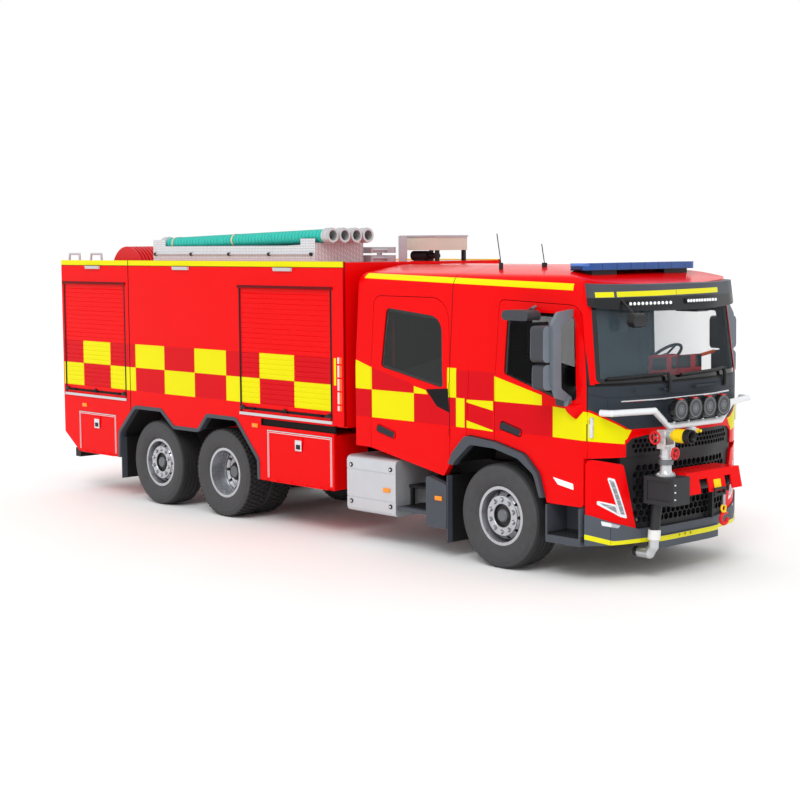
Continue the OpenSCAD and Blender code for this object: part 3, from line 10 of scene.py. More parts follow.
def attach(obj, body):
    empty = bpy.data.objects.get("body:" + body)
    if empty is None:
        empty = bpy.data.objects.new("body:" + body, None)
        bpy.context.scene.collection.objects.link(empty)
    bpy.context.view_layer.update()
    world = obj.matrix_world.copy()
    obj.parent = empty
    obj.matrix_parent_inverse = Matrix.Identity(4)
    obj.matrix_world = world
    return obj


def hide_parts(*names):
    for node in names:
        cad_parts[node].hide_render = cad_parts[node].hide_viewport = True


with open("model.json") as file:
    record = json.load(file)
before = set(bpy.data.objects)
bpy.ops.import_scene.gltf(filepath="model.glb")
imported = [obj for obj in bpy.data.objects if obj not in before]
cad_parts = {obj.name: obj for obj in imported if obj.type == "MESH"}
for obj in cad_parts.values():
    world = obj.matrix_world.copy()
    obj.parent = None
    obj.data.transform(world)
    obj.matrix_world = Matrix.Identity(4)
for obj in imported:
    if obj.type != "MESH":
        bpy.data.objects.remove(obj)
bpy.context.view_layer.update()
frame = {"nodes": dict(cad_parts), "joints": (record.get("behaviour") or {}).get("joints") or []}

# Studio: a white floor that runs into a bright even sky, and one broad soft key light from the
# front right, with the camera standing low off the truck's right front corner.
joint_place = {joint["name"]: joint["pos_m"] for joint in frame["joints"]}
AXLE = joint_place["spin_front_right"][0]
FLOOR_REACH = 220
KEY_STRENGTH, KEY_SOFTNESS = 1.2, math.radians(25)
KEY_TURN = [math.radians(v) for v in (44, 8, 24)]
FOCAL_LENGTH, SENSOR, FARTHEST = 74.82, 36, 500
CAMERA_TURN, CAMERA_TIP, CAMERA_ROLL = (math.radians(v) for v in (46.943, 5.395, -0.389))


def at(x, y, z):
    """A point given from the front axle, in the frame's own axes."""
    return Vector((x + AXLE, y, z))


def srgb(red, green, blue):
    """A colour's screen values, 0 to 255, as the light that it gives back."""
    channels = [c / 255 for c in (red, green, blue)]
    return (*[c / 12.92 if c < 0.04045 else ((c + 0.055) / 1.055) ** 2.4 for c in channels], 1.0)


class Shade:
    """A value or colour inside a finish; sums on values add Math nodes."""

    def __init__(self, finish, socket):
        self.finish, self.socket = finish, socket

    def sum(self, operation, first, second):
        return self.finish.node("Math", {"operation": operation}, {0: first, 1: second})

    def __add__(self, other):
        return self.sum("ADD", self, other)

    def __radd__(self, other):
        return self.sum("ADD", other, self)

    def __sub__(self, other):
        return self.sum("SUBTRACT", self, other)

    def __rsub__(self, other):
        return self.sum("SUBTRACT", other, self)

    def __mul__(self, other):
        return self.sum("MULTIPLY", self, other)

    def __rmul__(self, other):
        return self.sum("MULTIPLY", other, self)

    def __pow__(self, other):
        return self.sum("POWER", self, other)

    def __mod__(self, other):
        return self.sum("FLOORED_MODULO", self, other)

    def __gt__(self, other):
        return self.sum("GREATER_THAN", self, other)

    def __lt__(self, other):
        return self.sum("LESS_THAN", self, other)

    def __or__(self, other):
        return self.sum("MAXIMUM", self, other)

    def __abs__(self):
        return self.sum("ABSOLUTE", self, 0.0)

    def between(self, low, high):
        return (self > low) * (self < high)


class Finish:
    """A paint, plastic, metal or glass, clouded a little, with other finishes laid on parts of it."""

    def __init__(self, name, colour, roughness, metallic=0.0, spread=0.1, scale=6, **sockets):
        self.material = bpy.data.materials.new(name)
        self.material.use_nodes = True
        self.tree = self.material.node_tree
        self.shader = self.tree.nodes["Principled BSDF"]
        self.where = self.node("TexCoord", {}, {}, "Object")
        ahead = self.node("SeparateXYZ", {}, {0: self.where})
        self.x = ahead - AXLE
        self.y, self.z = (Shade(self, ahead.socket.node.outputs[i]) for i in (1, 2))
        self.aside = abs(self.y)
        self.cloud = self.grain(scale, 4)
        self.colour = self.tone(colour, spread)
        self.rough = roughness * 0.8 + self.cloud * (roughness * 0.4)
        self.metal = metallic
        self.set(Base_Color=self.colour, Roughness=self.rough, Metallic=metallic, **sockets)

    def node(self, kind, settings, sockets, output=0):
        made = self.tree.nodes.new("ShaderNode" + kind)
        for key, value in settings.items():
            setattr(made, key, value)
        for key, value in sockets.items():
            self.feed(made.inputs[key], value)
        return Shade(self, made.outputs[output])

    def feed(self, socket, value):
        if isinstance(value, Shade):
            self.tree.links.new(value.socket, socket)
        else:
            socket.default_value = value

    def set(self, **sockets):
        for key, value in sockets.items():
            self.feed(self.shader.inputs[key.replace("_", " ")], value)

    def mix(self, first, second, factor):
        return self.node("Mix", {"data_type": "RGBA"}, {0: factor, 6: first, 7: second}, 2)

    def tone(self, colour, spread):
        """The colour, a little darker and lighter from cloud to cloud."""
        dark = (*[c * (1 - spread) for c in colour[:3]], 1)
        pale = (*[min(c * (1 + spread) + 0.01 * spread, 1) for c in colour[:3]], 1)
        return self.mix(dark, pale, self.cloud)

    def layer(self, mask, colour, roughness, metallic=0.0, spread=0.06):
        """Lays another finish on where the mask is 1."""
        self.colour = self.mix(self.colour, self.tone(colour, spread), mask)
        self.rough = self.rough + mask * (roughness - self.rough)
        self.set(Base_Color=self.colour, Roughness=self.rough)
        if isinstance(self.metal, Shade) or metallic != self.metal:
            self.metal = mask * metallic + (1 - mask) * self.metal
            self.set(Metallic=self.metal)

    def box(self, x=None, y=None, z=None, aside=None):
        """Mask of the part between two bounds along each way that is given; aside is |y|."""
        ways = ((self.x, x), (self.y, y), (self.z, z), (self.aside, aside))
        return reduce(mul, [value.between(*bounds) for value, bounds in ways if bounds])

    def grain(self, scale, detail=3.0, stretch=(1, 1, 1)):
        spot = self.node("Mapping", {}, {0: self.where, 3: stretch})
        return self.node("TexNoise", {}, {"Vector": spot, "Scale": scale, "Detail": detail}, 0)

    def bump(self, height, strength, distance=0.001):
        relief = {"Height": height, "Strength": strength, "Distance": distance}
        self.set(Normal=self.node("Bump", {}, relief))
        return self


def show(name, bm, crease=35):
    """Turns a bmesh into an object, smooth apart from its sharp edges."""
    for face in bm.faces:
        face.smooth = True
    for edge in bm.edges:
        edge.smooth = len(edge.link_faces) == 2 and edge.calc_face_angle() < math.radians(crease)
    mesh = bpy.data.meshes.new(name)
    bm.to_mesh(mesh)
    bm.free()
    made = bpy.data.objects.new(name, mesh)
    bpy.context.scene.collection.objects.link(made)
    return made


bm = bmesh.new()
bmesh.ops.create_grid(bm, x_segments=8, y_segments=8, size=FLOOR_REACH)
floor = show("floor", bm)
pale_floor = Finish("pale_floor", srgb(244, 244, 244), 0.7, spread=0.01, scale=0.6)
floor.data.materials.append(pale_floor.material)

world = bpy.data.worlds.new("studio")
world.use_nodes = True
sky = world.node_tree.nodes["Background"]
sky.inputs["Color"].default_value = (1.0, 1.0, 1.0, 1)
sky.inputs["Strength"].default_value = 1.0
bpy.context.scene.world = world

key = bpy.data.objects.new("key", bpy.data.lights.new("key", "SUN"))
key.data.energy = KEY_STRENGTH
key.data.angle = KEY_SOFTNESS
key.rotation_euler = KEY_TURN
bpy.context.scene.collection.objects.link(key)
bpy.context.scene.view_settings.view_transform = "Standard"

camera = bpy.data.objects.new("camera", bpy.data.cameras.new("camera"))
camera.data.lens, camera.data.sensor_width, camera.data.clip_end = FOCAL_LENGTH, SENSOR, FARTHEST
camera_place = at(11.495, -13.329, 3.300)
level = math.cos(CAMERA_TIP)
back = Vector((math.sin(CAMERA_TURN) * level, -math.cos(CAMERA_TURN) * level, math.sin(CAMERA_TIP)))
right = Vector((0, 0, 1)).cross(back).normalized()
up = back.cross(right)
across = right * math.cos(CAMERA_ROLL) + up * math.sin(CAMERA_ROLL)
upward = up * math.cos(CAMERA_ROLL) - right * math.sin(CAMERA_ROLL)
camera.matrix_world = Matrix((
    (across.x, upward.x, back.x, camera_place.x),
    (across.y, upward.y, back.y, camera_place.y),
    (across.z, upward.z, back.z, camera_place.z),
    (0, 0, 0, 1)))
bpy.context.scene.collection.objects.link(camera)
bpy.context.scene.camera = camera

# Rolling chassis: frame rails, cross members, axles with their springs, engine and steering
# knuckles, of pressed and cast steel, bolted up and sprayed satin black.
WELD_GAP = 2e-5
SHARP_BEND = math.radians(32)
round_faces = bpy.data.node_groups.new("smooth_round_faces", "GeometryNodeTree")
for way in ("INPUT", "OUTPUT"):
    round_faces.interface.new_socket("Geometry", in_out=way, socket_type="NodeSocketGeometry")
chain = [round_faces.nodes.new(kind) for kind in (
    "NodeGroupInput", "GeometryNodeRemoveAttribute", "GeometryNodeMergeByDistance",
    "GeometryNodeSetShadeSmooth", "GeometryNodeSetShadeSmooth", "NodeGroupOutput")]
for first, second in zip(chain, chain[1:]):
    round_faces.links.new(first.outputs[0], second.inputs[0])
stripped, welded, creased = chain[1], chain[2], chain[4]
stripped.inputs["Name"].default_value = "custom_normal"
welded.inputs["Distance"].default_value = WELD_GAP
creased.domain = "EDGE"
creased.inputs["Shade Smooth"].default_value = False
bend = round_faces.nodes.new("GeometryNodeInputMeshEdgeAngle")
sharp = round_faces.nodes.new("FunctionNodeCompare")
sharp.operation = "GREATER_THAN"
sharp.inputs[1].default_value = SHARP_BEND
round_faces.links.new(bend.outputs[0], sharp.inputs[0])
round_faces.links.new(sharp.outputs[0], creased.inputs["Selection"])


def coat(finish, *names):
    """Gives CAD nodes a finish, with their turned and bent faces shaded smooth."""
    for name in names:
        piece = frame["nodes"][name]
        piece.data.materials.clear()
        piece.data.materials.append(finish.material)
        piece.modifiers.new("smooth", "NODES").node_group = round_faces


black = Finish("chassis_black", srgb(30, 30, 32), 0.5, spread=0.3, scale=9, Specular_IOR_Level=0.3)
black.bump(black.grain(420, 2), 0.15)
coat(black, "frame_rails", "cross_members", "axle_beams", "engine_block", "knuckle_right", "knuckle_left")

# Tyres: moulded black rubber. The wide ones in front and on the tag axle have four grooves round
# the tread; the twins on the drive axle have blocks. The beads sit on the rims by air pressure.
SIDES = ((-1, "right"), (1, "left"))
DRIVE_X = joint_place["spin_drive_right"][0] - AXLE
TAG_X = joint_place["spin_tag_right"][0] - AXLE
TRACK = joint_place["spin_front_left"][1]
TWIN_MIDDLES = (0.739, 1.089)
WIDE, NARROW = 0.385, 0.312
TYRE_R = joint_place["spin_front_right"][2]
BEAD_R = 0.2863
BELT_R, GROOVE_R, SHOULDER_R = TYRE_R - 0.014, TYRE_R - 0.013, TYRE_R - 0.0035
GROOVE_TOP, GROOVE_FLOOR = 0.007, 0.004
# Half a section from the bead to the shoulder: share of the width, height above the bead.
SIDEWALL = [
    (0.355, 0.0003), (0.372, 0.012), (0.405, 0.024), (0.428, 0.040), (0.437, 0.042), (0.438, 0.046),
    (0.462, 0.064), (0.483, 0.086), (0.495, 0.108), (0.499, 0.130), (0.497, 0.156), (0.492, 0.176),
    (0.4955, 0.178), (0.494, 0.183), (0.486, 0.186), (0.474, 0.208), (0.452, 0.226), (0.425, 0.238)]
# Rows of blocks: place and width as shares of the tyre's width, height, drop below the tyre's radius.
BLOCK_ROWS = [
    (-0.385, 0.13, 0.026, 0.0035), (-0.215, 0.15, 0.015, 0.0006), (0.0, 0.19, 0.015, 0.0006),
    (0.215, 0.15, 0.015, 0.0006), (0.385, 0.13, 0.026, 0.0035)]
BLOCKS_ROUND = 54


def reach(one_way, other_way):
    """Distance from a middle that lies this far off, one way and the other."""
    return (one_way ** 2.0 + other_way ** 2.0) ** 0.5


def rubber(name, wheel_x):
    """Black rubber, greyer on the sidewall than on the darker tread, with fine rings pressed into it."""
    finish = Finish(name, srgb(60, 60, 62), 0.62, spread=0.3, scale=14, Specular_IOR_Level=0.4)
    radius = reach(finish.x - wheel_x, finish.z - TYRE_R)
    tread = (radius > 0.515) * 0.7
    finish.layer(tread, srgb(28, 28, 29), 0.85)
    wave = finish.node("Math", {"operation": "SINE"}, {0: radius * 620.0})
    rings = radius.between(0.34, 0.40) | radius.between(0.47, 0.5)
    finish.bump(wave * rings * 0.6 + finish.grain(240, 3), 0.35)
    return finish


def tyre(bm, wheel_x, middle, width, grooved):
    """One tyre: its section, spun round the axle; blocked tyres get a plain belt for the blocks."""
    half = [(share * width, BEAD_R + height) for share, height in SIDEWALL]
    if grooved:
        tread = [(0.40 * width, SHOULDER_R)]
        for share in (0.24, 0.08, -0.08, -0.24):
            groove = share * width
            tread += [(groove + GROOVE_TOP, TYRE_R), (groove + GROOVE_FLOOR, GROOVE_R),
                      (groove - GROOVE_FLOOR, GROOVE_R), (groove - GROOVE_TOP, TYRE_R)]
        tread.append((-0.40 * width, SHOULDER_R))
    else:
        tread = [(0.41 * width, BELT_R), (-0.41 * width, BELT_R)]
    section = half + tread + [(-out, radius) for out, radius in reversed(half)]
    verts = [bm.verts.new(at(wheel_x, middle + out, TYRE_R + radius)) for out, radius in section]
    edges = [bm.edges.new(pair) for pair in zip(verts, verts[1:] + verts[:1])]
    bmesh.ops.spin(bm, geom=verts + edges, cent=at(wheel_x, middle, TYRE_R), axis=(0, 1, 0),
                   angle=math.tau, steps=112, use_merge=True)


def tread_blocks(bm, wheel_x, middle, width):
    """Rows of rubber blocks round the belt, each row half a pitch on from the last."""
    hub = at(wheel_x, middle, TYRE_R)
    pitch = math.tau / BLOCKS_ROUND
    for row, (share, wide, tall, drop) in enumerate(BLOCK_ROWS):
        for k in range(BLOCKS_ROUND):
            made = bmesh.ops.create_cube(bm, size=1)["verts"]
            bmesh.ops.scale(bm, verts=made, vec=(0.7 * pitch * TYRE_R, wide * width, tall))
            top = [v for v in made if v.co.z > 0]
            bmesh.ops.scale(bm, verts=top, vec=(0.86, 0.92, 1))
            out = Vector((0, share * width, TYRE_R - drop - tall / 2))
            bmesh.ops.translate(bm, verts=made, vec=hub + out)
            spin = Matrix.Rotation(pitch * (k + row % 2 / 2), 3, "Y")
            bmesh.ops.rotate(bm, verts=made, cent=hub, matrix=spin)


for side, mark in SIDES:
    for place, wheel_x in (("front", 0.0), ("tag", TAG_X)):
        bm = bmesh.new()
        tyre(bm, wheel_x, side * TRACK, WIDE, True)
        bmesh.ops.recalc_face_normals(bm, faces=bm.faces)
        piece = show(f"ribbed_tyre_{place}_{mark}", bm)
        piece.data.materials.append(rubber(f"rubber_{place}_{mark}", wheel_x).material)
        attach(piece, f"wheel_{place}_{mark}")
        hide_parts(f"tyre_{place}_{mark}")
    bm = bmesh.new()
    for middle in TWIN_MIDDLES:
        tyre(bm, DRIVE_X, side * middle, NARROW, False)
        tread_blocks(bm, DRIVE_X, side * middle, NARROW)
    bmesh.ops.recalc_face_normals(bm, faces=bm.faces)
    piece = show(f"block_tyres_{mark}", bm)
    piece.data.materials.append(rubber(f"rubber_drive_{mark}", DRIVE_X).material)
    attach(piece, f"wheel_drive_{mark}")
    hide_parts(f"tyres_drive_{mark}")

# Rims: pressed steel discs welded into rolled barrels and sprayed silver, held by ten nuts;
# the hub shows dark in the middle of the bolting ring, with a grey grease cap.
NUTS = 10
HUB_R, CAP_R, HOLE_RING = 0.1185, 0.067, 0.2255
for place, wheel_x, nut_ring in (
        ("rim_front", 0.0, 0.165), ("rims_drive", DRIVE_X, 0.148), ("rim_tag", TAG_X, 0.165)):
    silver = Finish(place + "_silver", srgb(184, 186, 191), 0.28, 0.7, spread=0.06, scale=5)
    ahead, above = silver.x - wheel_x, silver.z - TYRE_R
    radius = reach(ahead, above)
    silver.layer(radius < HUB_R, srgb(24, 24, 26), 0.5)
    silver.layer(radius < CAP_R, srgb(96, 99, 104), 0.4)
    turned = silver.node("Math", {"operation": "ARCTAN2"}, {0: above, 1: ahead}) * (NUTS / math.tau)
    # Painted shade: a dark ring round each nut and dark discs in the hand holes.
    for ring, shift, near, far, tone in (
            (nut_ring, 0.0, 0.0175, 0.025, srgb(62, 63, 67)),
            (HOLE_RING, 0.5, 0.0, 0.018, srgb(18, 18, 19))):
        off = ((turned + shift) % 1.0 - 0.5) * (math.tau / NUTS) * radius
        silver.layer(reach(radius - ring, off).between(near, far), tone, 0.4)
    # Painted shade: darker rings along the disc's pressed folds.
    fold_shade = radius.between(0.205, 0.212) | radius.between(0.245, 0.262)
    silver.layer(fold_shade, srgb(92, 94, 99), 0.4, 0.5)
    silver.bump(silver.grain(700, 2), 0.06)
    coat(silver, place + "_right", place + "_left")

# Cab: welded steel shell, doors and nose panel in gloss red, with yellow reflective film cut into
# squares and bands along the sides, over the roof edge and round the nose.
RED, CRIMSON, YELLOW = srgb(226, 3, 6), srgb(204, 0, 16), srgb(224, 217, 0)
DARK = srgb(22, 22, 25)
FILM_ROUGHNESS = 0.34
CAB_SIDE, SIDE_LEAN, SKIN_THICK = 1.2, 0.0575, 0.014
# The nose seen from above: a flat middle, a gentle sweep to each side, then a steep corner.
NOSE_X, NOSE_FLAT, NOSE_SWEEP = 1.42, 0.42, 0.2255
CORNER_X, CORNER_Y, CORNER_SWEEP = 1.305, 0.93, 0.64
SCREEN_FOOT, SCREEN_RAKE = 1.93, math.tan(math.radians(9))


def inside(across, upward, corners):
    """Mask of a convex area, its corners anticlockwise, on a face seen square on."""
    sides = []
    for (u0, z0), (u1, z1) in zip(corners, corners[1:] + corners[:1]):
        lean_u, lean_z = z0 - z1, u1 - u0
        sides.append(across * lean_u + upward * lean_z > lean_u * u0 + lean_z * z0)
    return reduce(mul, sides)


def area(x0, x1, z0, z1):
    return [(x0, z0), (x1, z0), (x1, z1), (x0, z1)]


def red_paint(name, films=(), dark=()):
    """Gloss red, with areas of deeper red film and of yellow reflective film laid on it."""
    finish = Finish(name, RED, 0.2, spread=0.04, scale=1.3, Specular_IOR_Level=0.08)
    for tone, rough, areas in ((CRIMSON, 0.3, dark), (YELLOW, FILM_ROUGHNESS, films)):
        if areas:
            laid = [inside(finish.x, finish.z, corners) for corners in areas]
            finish.layer(reduce(or_, laid), tone, rough)
    finish.bump(finish.grain(220, 2), 0.02)
    return finish


cab_films = [
    area(-2.25, -1.935, 1.71, 1.955), [(-2.25, 1.95), (-1.935, 1.95), (-2.18, 2.02), (-2.25, 2.03)],
    area(-1.935, -1.27, 1.405, 1.71), [(-1.27, 1.71), (-1.06, 1.71), (-1.09, 1.752), (-1.27, 1.786)],
    area(-0.766, -0.635, 1.70, 2.007), area(-0.637, -0.513, 1.398, 1.70),
    [(-0.483, 1.662), (-0.108, 1.601), (-0.108, 1.698), (-0.483, 1.691)],
    [(-0.485, 1.40), (-0.112, 1.388), (-0.108, 1.401), (-0.485, 1.476)],
    [(-0.09, 1.70), (0.555, 1.70), (0.555, 1.80), (-0.09, 1.954)],
    [(0.70, 1.40), (1.14, 1.392), (1.14, 1.67), (0.70, 1.70)],
    [(-2.13, 2.92), (0.91, 2.833), (0.91, 2.898), (-2.13, 2.974)]]
cab_dark = [
    [(-2.25, 1.405), (-0.11, 1.40), (-0.11, 1.70), (-2.25, 1.71)],
    [(-1.935, 1.70), (-1.27, 1.70), (-1.27, 1.80), (-1.935, 1.95)],
    area(-0.637, -0.09, 1.70, 1.99), [(-0.09, 1.40), (0.70, 1.40), (0.70, 1.70), (-0.09, 1.70)]]
cab_red = red_paint("cab_red", cab_films, cab_dark)
pillar_trim = [(-1.086, 1.763), (-0.923, 1.593), (-0.733, 1.537), (-0.755, 1.79)]
cab_red.layer(inside(cab_red.x, cab_red.z, pillar_trim), DARK, 0.4)
for x, z in ((-0.01, 1.502), (-1.858, 1.334)):
    grip = [(x - 0.004, z - 0.074), (x + 0.272, z - 0.136), (x + 0.292, z - 0.066), (x + 0.02, z + 0.004)]
    handle = inside(cab_red.x, cab_red.z, grip) * (cab_red.aside > 1.2035)
    cab_red.layer(handle, srgb(48, 50, 55), 0.45)
screen_sill = cab_red.box(x=(1.09, 2), z=(1.925, 1.945), aside=(0, 1.13))
cab_red.layer(screen_sill, DARK, 0.35)
above = (cab_red.z - SCREEN_FOOT) * (cab_red.z > SCREEN_FOOT)
corner = CORNER_Y + (CORNER_X - cab_red.x - above * SCREEN_RAKE) * (1 / CORNER_SWEEP)
skin = cab_red.node("Math", {"operation": "MINIMUM"}, {0: CAB_SIDE - above * SIDE_LEAN, 1: corner})
lining = (cab_red.aside < skin - SKIN_THICK) * cab_red.box(x=(-2.18, 1.25), z=(1.35, 2.85))
cab_red.layer(lining, srgb(44, 45, 49), 0.6)
# A dark line in the door gap, and painted shade on the shell seen through the grilles.
panel_gap = cab_red.box(x=(-0.735, -0.727), z=(1.3, 3.2))
shade_behind_grille = cab_red.box(x=(1.0, 1.5), z=(0.6, 1.6), aside=(0, 0.95))
cab_red.layer(panel_gap | shade_behind_grille, srgb(26, 4, 6), 0.6)
coat(cab_red, "cab_shell", *[f"door_{row}_{hand}" for row in ("front", "crew") for _, hand in SIDES])
nose_red = red_paint("nose_red")
for corners in ([(1.2, 1.682), (0.841, 1.492), (0.856, 1.35), (1.2, 1.393)],
                [(0.841, 1.492), (0.678, 1.468), (0.678, 1.431), (0.83, 1.396), (0.86, 1.35)]):
    nose_red.layer(inside(nose_red.aside, nose_red.z, corners), YELLOW, FILM_ROUGHNESS)
# Painted shade: the panel's walls set back behind the grilles are painted near black.
swept = (nose_red.aside - NOSE_FLAT) * (nose_red.aside > NOSE_FLAT) * NOSE_SWEEP
depth = NOSE_X - swept - nose_red.x
grille_recess_shade = (depth > 0.012) * nose_red.box(z=(0.5, 1.7), aside=(0, 0.9))
nose_red.layer(grille_recess_shade, srgb(14, 13, 14), 0.6)
coat(nose_red, "front_panel")
coat(red_paint("lamp_panel_red"), "headlamp_panels")

# Glass: dark toughened panes in the doors and a clear laminated windscreen, bonded in behind a
# black printed border.
SCREEN_TINT, PANE_TINT = srgb(84, 100, 110), srgb(10, 15, 15)
front_pane = [(0.075, 1.965), (0.70, 1.815), (0.985, 1.795), (0.925, 2.565), (0.085, 2.585)]
crew_pane = [(-1.755, 1.99), (-0.855, 1.82), (-0.905, 2.49), (-1.705, 2.575)]
screen_pane = [(-1.07, 1.985), (1.07, 1.985), (1.035, 2.72), (-1.035, 2.72)]


def glazing(name, tint, alpha, corners, screen=False):
    """Glass, clear inside its printed border; the screen is less clear towards the right."""
    finish = Finish(name, tint, 0.03, spread=0.2, scale=3, Specular_IOR_Level=0.5)
    border = 1 - inside(finish.y if screen else finish.x, finish.z, corners)
    finish.layer(border, srgb(14, 14, 15), 0.12)
    if screen:
        ramp = {"operation": "MULTIPLY_ADD", "use_clamp": True}
        alpha = alpha + finish.node("Math", ramp, {0: finish.y, 1: -1.1, 2: 0.35}) * 0.22
    finish.set(Alpha=alpha + border * (1 - alpha))
    return finish


for row, pane, alpha in (("front", front_pane, 0.1), ("crew", crew_pane, 0.58)):
    toughened = glazing(row + "_door_glass", PANE_TINT, alpha, pane)
    coat(toughened, f"glass_{row}_right", f"glass_{row}_left")
coat(glazing("screen_glass", SCREEN_TINT, 0.07, screen_pane, True), "windscreen")

# Small cab fittings: red mirror feet bolted on the doors, white turn lamps in the doors' lower front
# corners, and a bright bar beside the film on each nose corner.
DOOR_FACE = 1.2003
FOOT_FACE, TURN_LAMP_FACE = 1.25, 1.209
FOOT_OUTLINE = [(0.85, 1.735), (1.075, 1.751), (1.09, 1.676), (1.0, 1.591), (0.889, 1.66)]
TURN_LAMP_OUTLINE = [(0.705, 1.005), (0.963, 0.962), (0.971, 0.904), (0.770, 0.938)]
BRIGHT = srgb(222, 224, 227)


def block(bm, corner, opposite, round_by=0.003, segments=2, place=Matrix()):
    """A box with rounded edges, between two opposite corners, turned and moved to its place."""
    made = bmesh.ops.create_cube(bm, size=1)["verts"]
    bmesh.ops.scale(bm, verts=made, vec=[abs(length) for length in opposite - corner])
    bmesh.ops.translate(bm, verts=made, vec=(corner + opposite) / 2)
    bmesh.ops.transform(bm, matrix=place, verts=made)
    edges = list({e for v in made for e in v.link_edges})
    bmesh.ops.bevel(bm, geom=edges, offset=round_by, offset_type="OFFSET", segments=segments, profile=0.5,
                    affect="EDGES", material=-1)


def raised(bm, corners, y0, y1, shrink, round_by):
    """A flat shape in (x, z), pushed out from y0 to y1 with its outer face drawn in and rounded."""
    low = bm.faces.new([bm.verts.new(at(x, y0, z)) for x, z in corners])
    made = bmesh.ops.extrude_face_region(bm, geom=[low])["geom"]
    top = [v for v in made if isinstance(v, bmesh.types.BMVert)]
    bmesh.ops.translate(bm, verts=top, vec=(0, y1 - y0, 0))
    middle = sum((v.co for v in top), Vector()) / len(top)
    for v in top:
        v.co += (middle - v.co) * Vector((shrink, 0, shrink))
    edges = list({e for v in top for e in v.link_edges})
    bmesh.ops.bevel(bm, geom=edges, offset=round_by, offset_type="OFFSET", segments=3, profile=0.5,
                    affect="EDGES", material=-1)
    bmesh.ops.recalc_face_normals(bm, faces=bm.faces)


def add(name, bm, finish, body):
    """Shows a small piece in its finish, carried by a body."""
    piece = show(name, bm)
    piece.data.materials.append(finish.material)
    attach(piece, body)


foot_red = red_paint("mirror_foot_red")
lens = Finish("clear_lens", srgb(236, 240, 243), 0.1, spread=0.05, scale=60, Specular_IOR_Level=0.5)
lens.set(Emission_Color=(1, 1, 1, 1), Emission_Strength=0.25)
chrome = Finish("bright_trim", BRIGHT, 0.18, 0.8, spread=0.05, scale=20)
bars = bmesh.new()
for side, hand in SIDES:
    foot, turn_lamp = bmesh.new(), bmesh.new()
    raised(foot, FOOT_OUTLINE, side * DOOR_FACE, side * FOOT_FACE, 0.3, 0.014)
    raised(turn_lamp, TURN_LAMP_OUTLINE, side * DOOR_FACE, side * TURN_LAMP_FACE, 0.06, 0.004)
    add(f"mirror_foot_{hand}", foot, foot_red, f"door_front_{hand}")
    add(f"turn_lamp_{hand}", turn_lamp, lens, f"door_front_{hand}")
    block(bars, at(1.135, side * 1.142, 1.421), at(1.176, side * 1.172, 1.622), 0.006)
add("nose_corner_bars", bars, chrome, "chassis")

# Seats: two in front and a row of four behind, foam pads in dark woven covers with sewn channels,
# each laid on a moulded pedestal.
SEAT_PLACES = [(0.13, -0.64), (0.13, 0.64)] + [(-1.85, y) for y in (-0.75, -0.25, 0.25, 0.75)]
# Cushion, back and head rest: back and front end, half width, bottom, top, crown, lean, channels.
PADS = [
    (-0.015, 0.485, 0.23, 1.638, 1.772, 0.03, 0.0, 2),
    (-0.095, 0.005, 0.22, 1.775, 2.29, 0.028, 0.085, 2),
    (-0.145, -0.065, 0.13, 2.31, 2.485, 0.025, 0.06, 0)]
SEAM_DEPTH, SEAM_SHARPNESS = 0.25, 14
PULL_AT_MIDDLE, PULL_AT_FACES = 0.03, 0.02
THREADS = 160.0


def seat_cloth():
    """Dark woven cloth, its threads crossing."""
    finish = Finish("seat_cloth", srgb(40, 42, 47), 0.85, spread=0.2, scale=30, Specular_IOR_Level=0.2)
    weave = {"Vector": finish.where, "Scale": THREADS}
    across_thread, along_thread = (
        finish.node("TexWave", {"bands_direction": way}, weave, 1) for way in ("Y", "Z"))
    return finish.bump(across_thread * along_thread, 0.35)


def pad(bm, low, high, crown, lean, channels):
    """A stuffed pad: a box whose faces swell, whose sides pull in and whose face has sewn channels."""
    before = set(bm.verts)
    made = bmesh.ops.create_cube(bm, size=2)["verts"]
    edges = list({e for v in made for e in v.link_edges})
    bmesh.ops.subdivide_edges(bm, edges=edges, cuts=11, use_grid_fill=True)
    verts = [v for v in bm.verts if v not in before]
    middle, half = (low + high) / 2, (high - low) / 2
    face = min(range(3), key=lambda i: half[i])
    seams = [2 * (k + 1) / (channels + 1) - 1 for k in range(channels + 1)]
    for v in verts:
        u = v.co.copy()
        swell = math.prod(1 - u[i] ** 4 for i in range(3) if i != face)
        seam = min(abs(u[1] - place) for place in seams)
        dip = SEAM_DEPTH * math.exp(-(seam * SEAM_SHARPNESS) ** 2)
        pull = PULL_AT_MIDDLE * (1 - u[face] ** 2) + PULL_AT_FACES * u[face] ** 2
        for i in range(3):
            if i == face:
                v.co[i] = u[i] * (half[i] - crown + crown * max(swell - dip, 0))
            else:
                v.co[i] = u[i] * half[i] * (1 - pull)
        v.co += middle
    bmesh.ops.smooth_vert(bm, verts=verts, factor=0.4, use_axis_x=True, use_axis_y=True, use_axis_z=True)
    for v in verts:
        v.co.x -= lean * (v.co.z - low.z)


cloth = seat_cloth()
for k, (x, y) in enumerate(SEAT_PLACES):
    bm = bmesh.new()
    for x0, x1, half, z0, z1, crown, lean, channels in PADS:
        pad(bm, at(x + x0, y - half, z0), at(x + x1, y + half, z1), crown, lean, channels)
    seat = show(f"seat_pads_{k + 1}", bm, 180)
    swelled = seat.modifiers.new("round", "SUBSURF")
    swelled.levels = swelled.render_levels = 1
    seat.data.materials.append(cloth.material)
    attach(seat, "chassis")
    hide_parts("seats")

# Cab inside: moulded dark dashboard with the steering wheel, a red-framed pair of screens on it,
# an orange hand rail across the far side and an orange grab pole by the crew door.
RAIL_R, POLE_R = 0.018, 0.019
RAIL = [(0.9, 0.79, 1.9), (0.91, 0.80, 2.08), (0.93, 0.83, 2.105), (0.94, 1.08, 2.14)]
POLE_Y = -1.02
POLE = [(-1.78, 1.351), (-1.78, 2.0), (-1.78, 2.44), (-1.81, 2.5), (-1.9, 2.54)]


